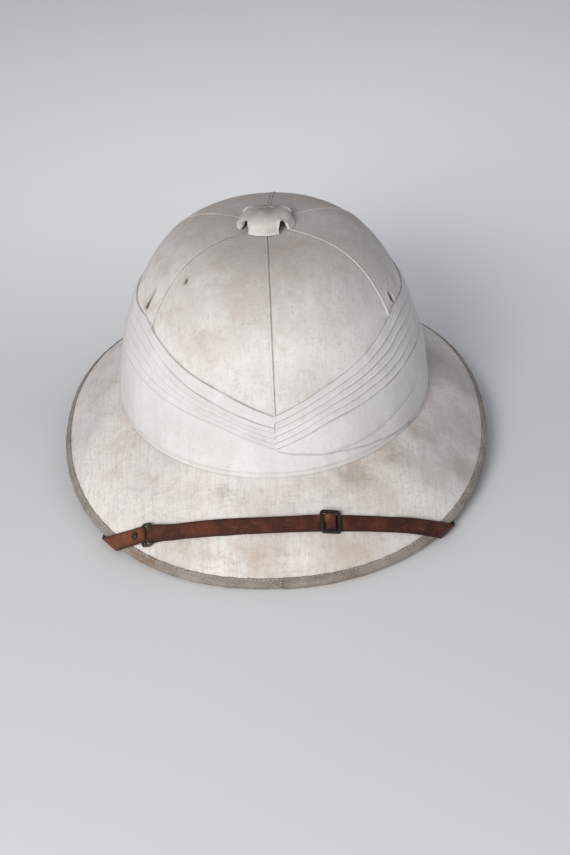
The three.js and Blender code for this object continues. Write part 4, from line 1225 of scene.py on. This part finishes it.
def cloth_finish(name, spots=(), masks=(), base=WHITE_CLOTH, grime=1.0, painted_top_shade=0.0, streaks=0.18):
    """Whitened cotton: mottled, stained at the given places, darker at the given masks and greyer high up;
    some places, most masks and the greying high up are painted shade.
    """
    material, place, put = new_finish(name)
    broad = place.noise(16, 5, 0.62).between(0.4, 0.68)
    patches = place.noise(45, 7, 0.7).between(0.46, 0.7)
    rubbed = place.noise(120, 8, 0.75).between(0.5, 0.68)
    warp = place.noise(620, 4, 0.65, (1, 0.05, 0.15)).between(0.44, 0.7)
    weft = place.noise(620, 4, 0.65, (0.05, 1, 1)).between(0.5, 0.74)
    flecks = place.noise(480, 5, 0.75).between(0.5, 0.72)
    specks = place.noise(260, 2, 0.5).between(0.74, 0.79)
    chalk = place.noise(34, 7, 0.7, (1, 1, 0.5)).between(0.4, 0.68)
    dusted = place.noise(230, 6, 0.75).between(0.5, 0.72)
    ragged = place.noise(60, 6, 0.7).between(0.3, 0.7)
    gaps = place.noise(75, 4, 0.6).between(0.42, 0.64)
    colour = place.tint(chalk * 0.8, base, BRIGHT_CLOTH)
    # Painted shade greying the crown towards its top
    if painted_top_shade:
        top_shade = place.height().between(*TOP_SHADE_HEIGHTS) * 1.2 - chalk * 0.25 + patches * 0.15 - 0.05
        top_shade = top_shade.node("ShaderNodeClamp", None, {0: top_shade})
        colour = place.tint(top_shade * painted_top_shade, colour, MAUVE_GREY)
    colour = place.layers(
        colour,
        (broad * (0.30 * grime), GREY_STAIN_AND_SHADE),
        (patches * (0.36 * grime), BEIGE_STAIN),
        (rubbed * (0.26 * grime), GREY_STAIN_AND_SHADE),
        ((warp + weft) * (streaks * grime), BEIGE_STAIN),
        (flecks * (0.24 * grime), FLECK_BROWN),
        (dusted * 0.22, BRIGHT_CLOTH))
    # Spots are stains, and painted shade under and behind the vent cap and on the brim's right side.
    for centre, reach, amount, shade in spots:
        spot = place.near(centre, reach) * (0.55 + ragged * 0.55)
        colour = place.tint(spot.between(0.12, 1.0) * amount, colour, shade)
    colour = place.tint(specks * (0.5 * grime), colour, BROWN_STAIN)
    # Masks: painted shade in grooves, creases and tears, the creases with some grime, and the cloth's own
    # tint at frayed lips and the band's base.
    for label, amount, shade, broken in masks:
        colour = place.tint(place.mask(label) * (amount - gaps * (amount * broken)), colour, shade)
    grain = place.noise(900, 3, 0.6)
    height = place.weave(0.75) * 0.35 + grain * 0.8 + patches * 0.5 + rubbed * 0.5 + warp * 0.4 + weft * 0.4
    put(Base_Color=colour, Roughness=0.82 + broad * 0.12, Normal=place.bump(height, 0.4, 0.00025))
    put(Specular_IOR_Level=0.25, Sheen_Weight=0.08)
    return material


def cap_finish():
    material, place, put = new_finish("cap_paint")
    mottle = place.noise(90, 6, 0.65).between(0.42, 0.7)
    chips = place.noise(340, 5, 0.7).between(0.6, 0.72)
    grime = place.near(*CAP_GRIME_PLACE) * place.noise(150, 5, 0.7).between(0.28, 0.58)
    # The rim is lightened with a painted highlight.
    colour = place.layers(
        CAP_PAINT,
        (mottle * 0.6, CAP_GREY),
        (grime * 0.85, CAP_GRIME),
        (chips * 0.5, CAP_CHIP),
        (place.mask("rim") * 0.5, CAP_RIM_HIGHLIGHT))
    put(Base_Color=colour, Roughness=0.62 + mottle * 0.2)
    put(Normal=place.bump(mottle * 0.6 + chips * 0.5 + place.noise(700, 3), 0.4, 0.0003))
    put(Specular_IOR_Level=0.35)
    return material


def tape_finish():
    material, place, put = new_finish("binding_tape")
    mottle = place.noise(60, 5, 0.6).between(0.35, 0.7)
    threads = place.noise(900, 4, 0.7).between(0.4, 0.68)
    flecks = place.noise(330, 4, 0.7).between(0.52, 0.66)
    rusty = place.near(*TAPE_RUST_PLACE) * place.noise(140, 4, 0.7).between(0.4, 0.6)
    colour = place.layers(
        TAPE_GREY,
        (mottle * 0.65, TAPE_DARK),
        (threads * 0.4, TAPE_THREAD),
        (place.mask("worn") * flecks * 0.9, TAPE_WORN_DARK),
        (place.mask("rust") * (0.10 + mottle * 0.2), TAPE_RUST),
        (place.mask("joint") * 0.85, TAPE_JOINT_DARK),
        (rusty * 0.8, TAPE_RUST_SPOT))
    put(Base_Color=colour, Roughness=0.85 + mottle * 0.1)
    put(Normal=place.bump(place.weave(0.6) * 0.5 + threads + flecks * 0.6, 0.5, 0.0003))
    put(Specular_IOR_Level=0.2)
    return material


def leather_finish():
    material, place, put = new_finish("strap_leather")
    tone = place.noise(60, 6, 0.68, (1, 0.5, 1)).between(0.36, 0.64)
    wear = place.noise(190, 6, 0.72).between(0.53, 0.68)
    scuffs = place.noise(520, 4, 0.7, (0.35, 1, 1)).between(0.54, 0.68)
    edge = place.mask("edge")
    end_wear = place.near(*STRAP_PALE_END)
    colour = place.layers(
        LEATHER_RED,
        (tone, LEATHER_DARK),
        (wear * 0.5, LEATHER_RUBBED),
        (scuffs * 0.6, LEATHER_SCUFF),
        (end_wear * (0.45 + wear * 0.5), LEATHER_PALE_END),
        # Painted highlight on the leather's fold in the buckle's window
        (place.near(*BUCKLE_WINDOW) * 0.8, LEATHER_BUCKLE_HIGHLIGHT),
        (edge * 0.8, LEATHER_EDGE))
    pores = {"Vector": place, "Scale": 1100.0}
    grain = place.node("ShaderNodeTexVoronoi", {"feature": "DISTANCE_TO_EDGE"}, pores)
    put(Base_Color=colour, Roughness=0.52 + wear * 0.2 + edge * 0.1)
    put(Normal=place.bump(grain * 1.2 + wear * 0.4 - scuffs * 0.4, 0.45, 0.0003))
    put(Specular_IOR_Level=0.3)
    return material


def metal_finish(name, base, bare, shine):
    material, place, put = new_finish(name)
    rubbed = place.noise(420, 5, 0.65).between(0.55, 0.7)
    dull = place.noise(160, 4, 0.6).between(0.35, 0.7)
    colour = place.tint(rubbed * 0.6, base, bare)
    put(Base_Color=colour, Roughness=shine + dull * 0.25, Metallic=0.35 + rubbed * 0.5)
    put(Normal=place.bump(dull + rubbed * 0.4, 0.25, 0.0002))
    return material


def thread_finish():
    material, place, put = new_finish("stitch_thread")
    mottle = place.noise(260, 4, 0.6).between(0.35, 0.68)
    put(Base_Color=place.tint(mottle, THREAD_PALE, THREAD_DARK), Roughness=0.85 + mottle * 0.1)
    put(Normal=place.bump(place.noise(2500, 2), 0.3, 0.0001))
    return material


def floor_finish():
    material, place, put = new_finish("pale_floor")
    soft = place.noise(6, 3, 0.5).between(0.3, 0.7)
    put(Base_Color=place.tint(soft * 0.25, FLOOR_PALE, FLOOR_GREY), Roughness=0.7 + soft * 0.1)
    put(Specular_IOR_Level=0.2)
    return material


# Stains and painted shade: a centre in millimetres, a reach, an amount and a shade
CROWN_SPOTS = (
    # Painted shade under the vent cap
    ((0.4, -2.8, 158.5), 17, 1.0, DEEP_SHADE),
    ((-92.0, -38.0, 128.0), 30, 0.45, BEIGE_STAIN),
    ((-40.0, -90.0, 120.0), 34, 0.35, BEIGE_STAIN),
    ((60.0, -60.0, 140.0), 36, 0.30, GREY_STAIN_AND_SHADE),
    # Painted shade, with some grime, on the top behind the vent cap
    ((0.0, 40.0, 156.0), 66, 0.60, MAUVE_GREY),
)
BRIM_SPOTS = (
    ((48.0, -113.0, 38.0), 24, 0.48, BROWN_STAIN),
    ((76.0, -97.0, 37.0), 26, 0.48, BROWN_STAIN),
    ((96.0, -72.0, 37.0), 22, 0.45, BROWN_STAIN),
    ((62.0, -124.0, 32.0), 40, 0.35, BEIGE_STAIN),
    ((121.0, -88.0, 20.0), 18, 0.55, BROWN_STAIN),
    # Painted shade, with some stain, on the brim's right side
    ((100.0, -98.0, 29.0), 46, 0.50, GREY_STAIN_AND_SHADE),
    ((-34.0, -125.0, 36.0), 13, 0.42, BROWN_STAIN),
    ((-14.0, -132.0, 34.0), 24, 0.30, BEIGE_STAIN),
    ((-62.0, -120.0, 33.0), 26, 0.25, BEIGE_STAIN),
    # Painted shade, with some stain, on the brim's right side
    ((116.0, -62.0, 28.0), 70, 0.75, GREY_STAIN_AND_SHADE),
    ((122.0, 14.0, 28.0), 70, 0.75, GREY_STAIN_AND_SHADE),
    ((-122.0, -20.0, 28.0), 60, 0.35, GREY_STAIN_AND_SHADE),
    ((-86.5, -129.0, 25.0), 2.2, 1.0, TORN_DARK),
    ((-12.0, -163.0, 12.0), 38, 0.75, BEIGE_STAIN),
    ((44.0, -160.0, 13.0), 46, 0.70, BEIGE_STAIN),
    ((-60.0, -155.0, 13.0), 40, 0.55, BEIGE_STAIN),
)

# Lines and edges: a mask on the mesh, an amount, a shade and how broken it is; the groove and torn masks are
# painted shade, the creases painted shade with some grime
CROWN_MASKS = (("groove", 0.6, LINE_SHADE_AND_GRIME, 0.5), ("frayed", 0.65, FRAYED_TAN, 0), ("torn", 1.0, TORN_DARK, 0))
PLEAT_MASKS = (("crease", 0.75, LINE_SHADE_AND_GRIME, 0.5),)
BAND_MASKS = (("base", 0.10, BEIGE_STAIN, 0), ("crease", 0.75, LINE_SHADE_AND_GRIME, 0.4))


# Dressing

def dress(piece, material, node):
    piece.data.materials.clear()
    piece.data.materials.append(material)
    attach(piece, "root")
    if node:
        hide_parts(node)


crown_cloth = cloth_finish("crown_cloth", CROWN_SPOTS, CROWN_MASKS, painted_top_shade=0.9)
brim_cloth = cloth_finish("brim_cloth", BRIM_SPOTS, base=BRIM_CLOTH, grime=1.1, streaks=0.3)
pleat_cloth = cloth_finish("pleat_cloth", masks=PLEAT_MASKS, base=WRAP_CLOTH, grime=0.5)
band_cloth = cloth_finish("band_cloth", masks=BAND_MASKS, base=WRAP_CLOTH, grime=0.5)
leather = leather_finish()
enamel = metal_finish("black_enamel", ENAMEL_BLACK, ENAMEL_RUBBED, shine=0.36)
bronze = metal_finish("dark_bronze", BRONZE_DARK, BRONZE_RUBBED, shine=0.38)
thread = thread_finish()

dress(crown_piece(), crown_cloth, "crown")
dress(brim_piece(), brim_cloth, "brim")
dress(pleats_piece(), pleat_cloth, "pagri_pleats")
dress(band_piece(), band_cloth, "pagri_band")
dress(binding_piece(), tape_finish(), "edge_binding")
dress(cap_piece(), cap_finish(), "vent_cap")
dress(strap_piece("chin_strap", chin_strap_stations(), seed=31), leather, "chin_strap")
dress(strap_piece("strap_tab", tab_stations(), seed=32), leather, "strap_tab")
dress(ring_piece(), bronze, "strap_ring")
dress(buckle_piece(), enamel, "strap_buckle")
dress(stud_piece(), enamel, "strap_stud")
for name, side in (("strap_rivet_left", -1), ("strap_rivet_right", 1)):
    dress(rivet_piece(name, side), bronze, name)
dress(stitches_piece(thread), thread, None)


# Floor, light and camera, in metres
FLOOR_REACH = 40.0
CAMERA_PLACE = (0.0064, -0.8053, 0.5431)
CAMERA_WAY = (-0.0002, 0.8278, -0.5610)
CAMERA_ROLL = math.radians(-2.807)
CAMERA_LENS = 57.74
CAMERA_SENSOR = 36
CAMERA_RANGE = (0.05, 50)
ROOM_COLOUR = (0.88, 0.91, 0.96, 1)
ROOM_STRENGTH = 0.36


def make_floor():
    mesh = bpy.data.meshes.new("floor")
    corners = [(x * FLOOR_REACH, y * FLOOR_REACH, 0) for x, y in ((-1, -1), (1, -1), (1, 1), (-1, 1))]
    mesh.from_pydata(corners, [], [(0, 1, 2, 3)])
    floor = bpy.data.objects.new("floor", mesh)
    bpy.context.collection.objects.link(floor)
    mesh.materials.append(floor_finish())


def make_lamp(name, place, aim, size, power, colour):
    lamp = bpy.data.lights.new(name, "AREA")
    lamp.shape = "DISK"
    lamp.size = size
    lamp.energy = power
    lamp.color = colour
    holder = bpy.data.objects.new(name, lamp)
    holder.location = place
    holder.rotation_euler = (Vector(aim) - Vector(place)).to_track_quat("-Z", "Y").to_euler()
    bpy.context.collection.objects.link(holder)


def make_camera():
    data = bpy.data.cameras.new("camera")
    data.lens = CAMERA_LENS
    data.sensor_width = CAMERA_SENSOR
    data.clip_start, data.clip_end = CAMERA_RANGE
    camera = bpy.data.objects.new("camera", data)
    forward = Vector(CAMERA_WAY).normalized()
    right = forward.cross(Vector((0, 0, 1))).normalized()
    up = right.cross(forward)
    level = right * math.cos(CAMERA_ROLL) + up * math.sin(CAMERA_ROLL)
    upright = up * math.cos(CAMERA_ROLL) - right * math.sin(CAMERA_ROLL)
    turn = Matrix((level, upright, -forward)).transposed().to_4x4()
    camera.matrix_world = Matrix.Translation(CAMERA_PLACE) @ turn
    bpy.context.collection.objects.link(camera)
    bpy.context.scene.camera = camera


bpy.context.scene.view_settings.view_transform = "Standard"
make_floor()
make_lamp("window", place=(-0.75, -1.6, 0.95), aim=(0, -0.05, 0.07),
          size=0.9, power=27, colour=(1.0, 0.985, 0.965))
make_lamp("side_fill", place=(1.3, -1.0, 0.9), aim=(0, 0, 0.08),
          size=1.0, power=1.5, colour=(0.92, 0.96, 1.0))
make_lamp("back_wash", place=(0.0, 0.45, 0.8), aim=(0, 1.3, 0.35),
          size=1.2, power=3.2, colour=(1.0, 1.0, 1.0))
make_camera()

world = bpy.data.worlds.new("room")
bpy.context.scene.world = world
world.use_nodes = True
background = world.node_tree.nodes["Background"]
background.inputs["Color"].default_value = ROOM_COLOUR
background.inputs["Strength"].default_value = ROOM_STRENGTH
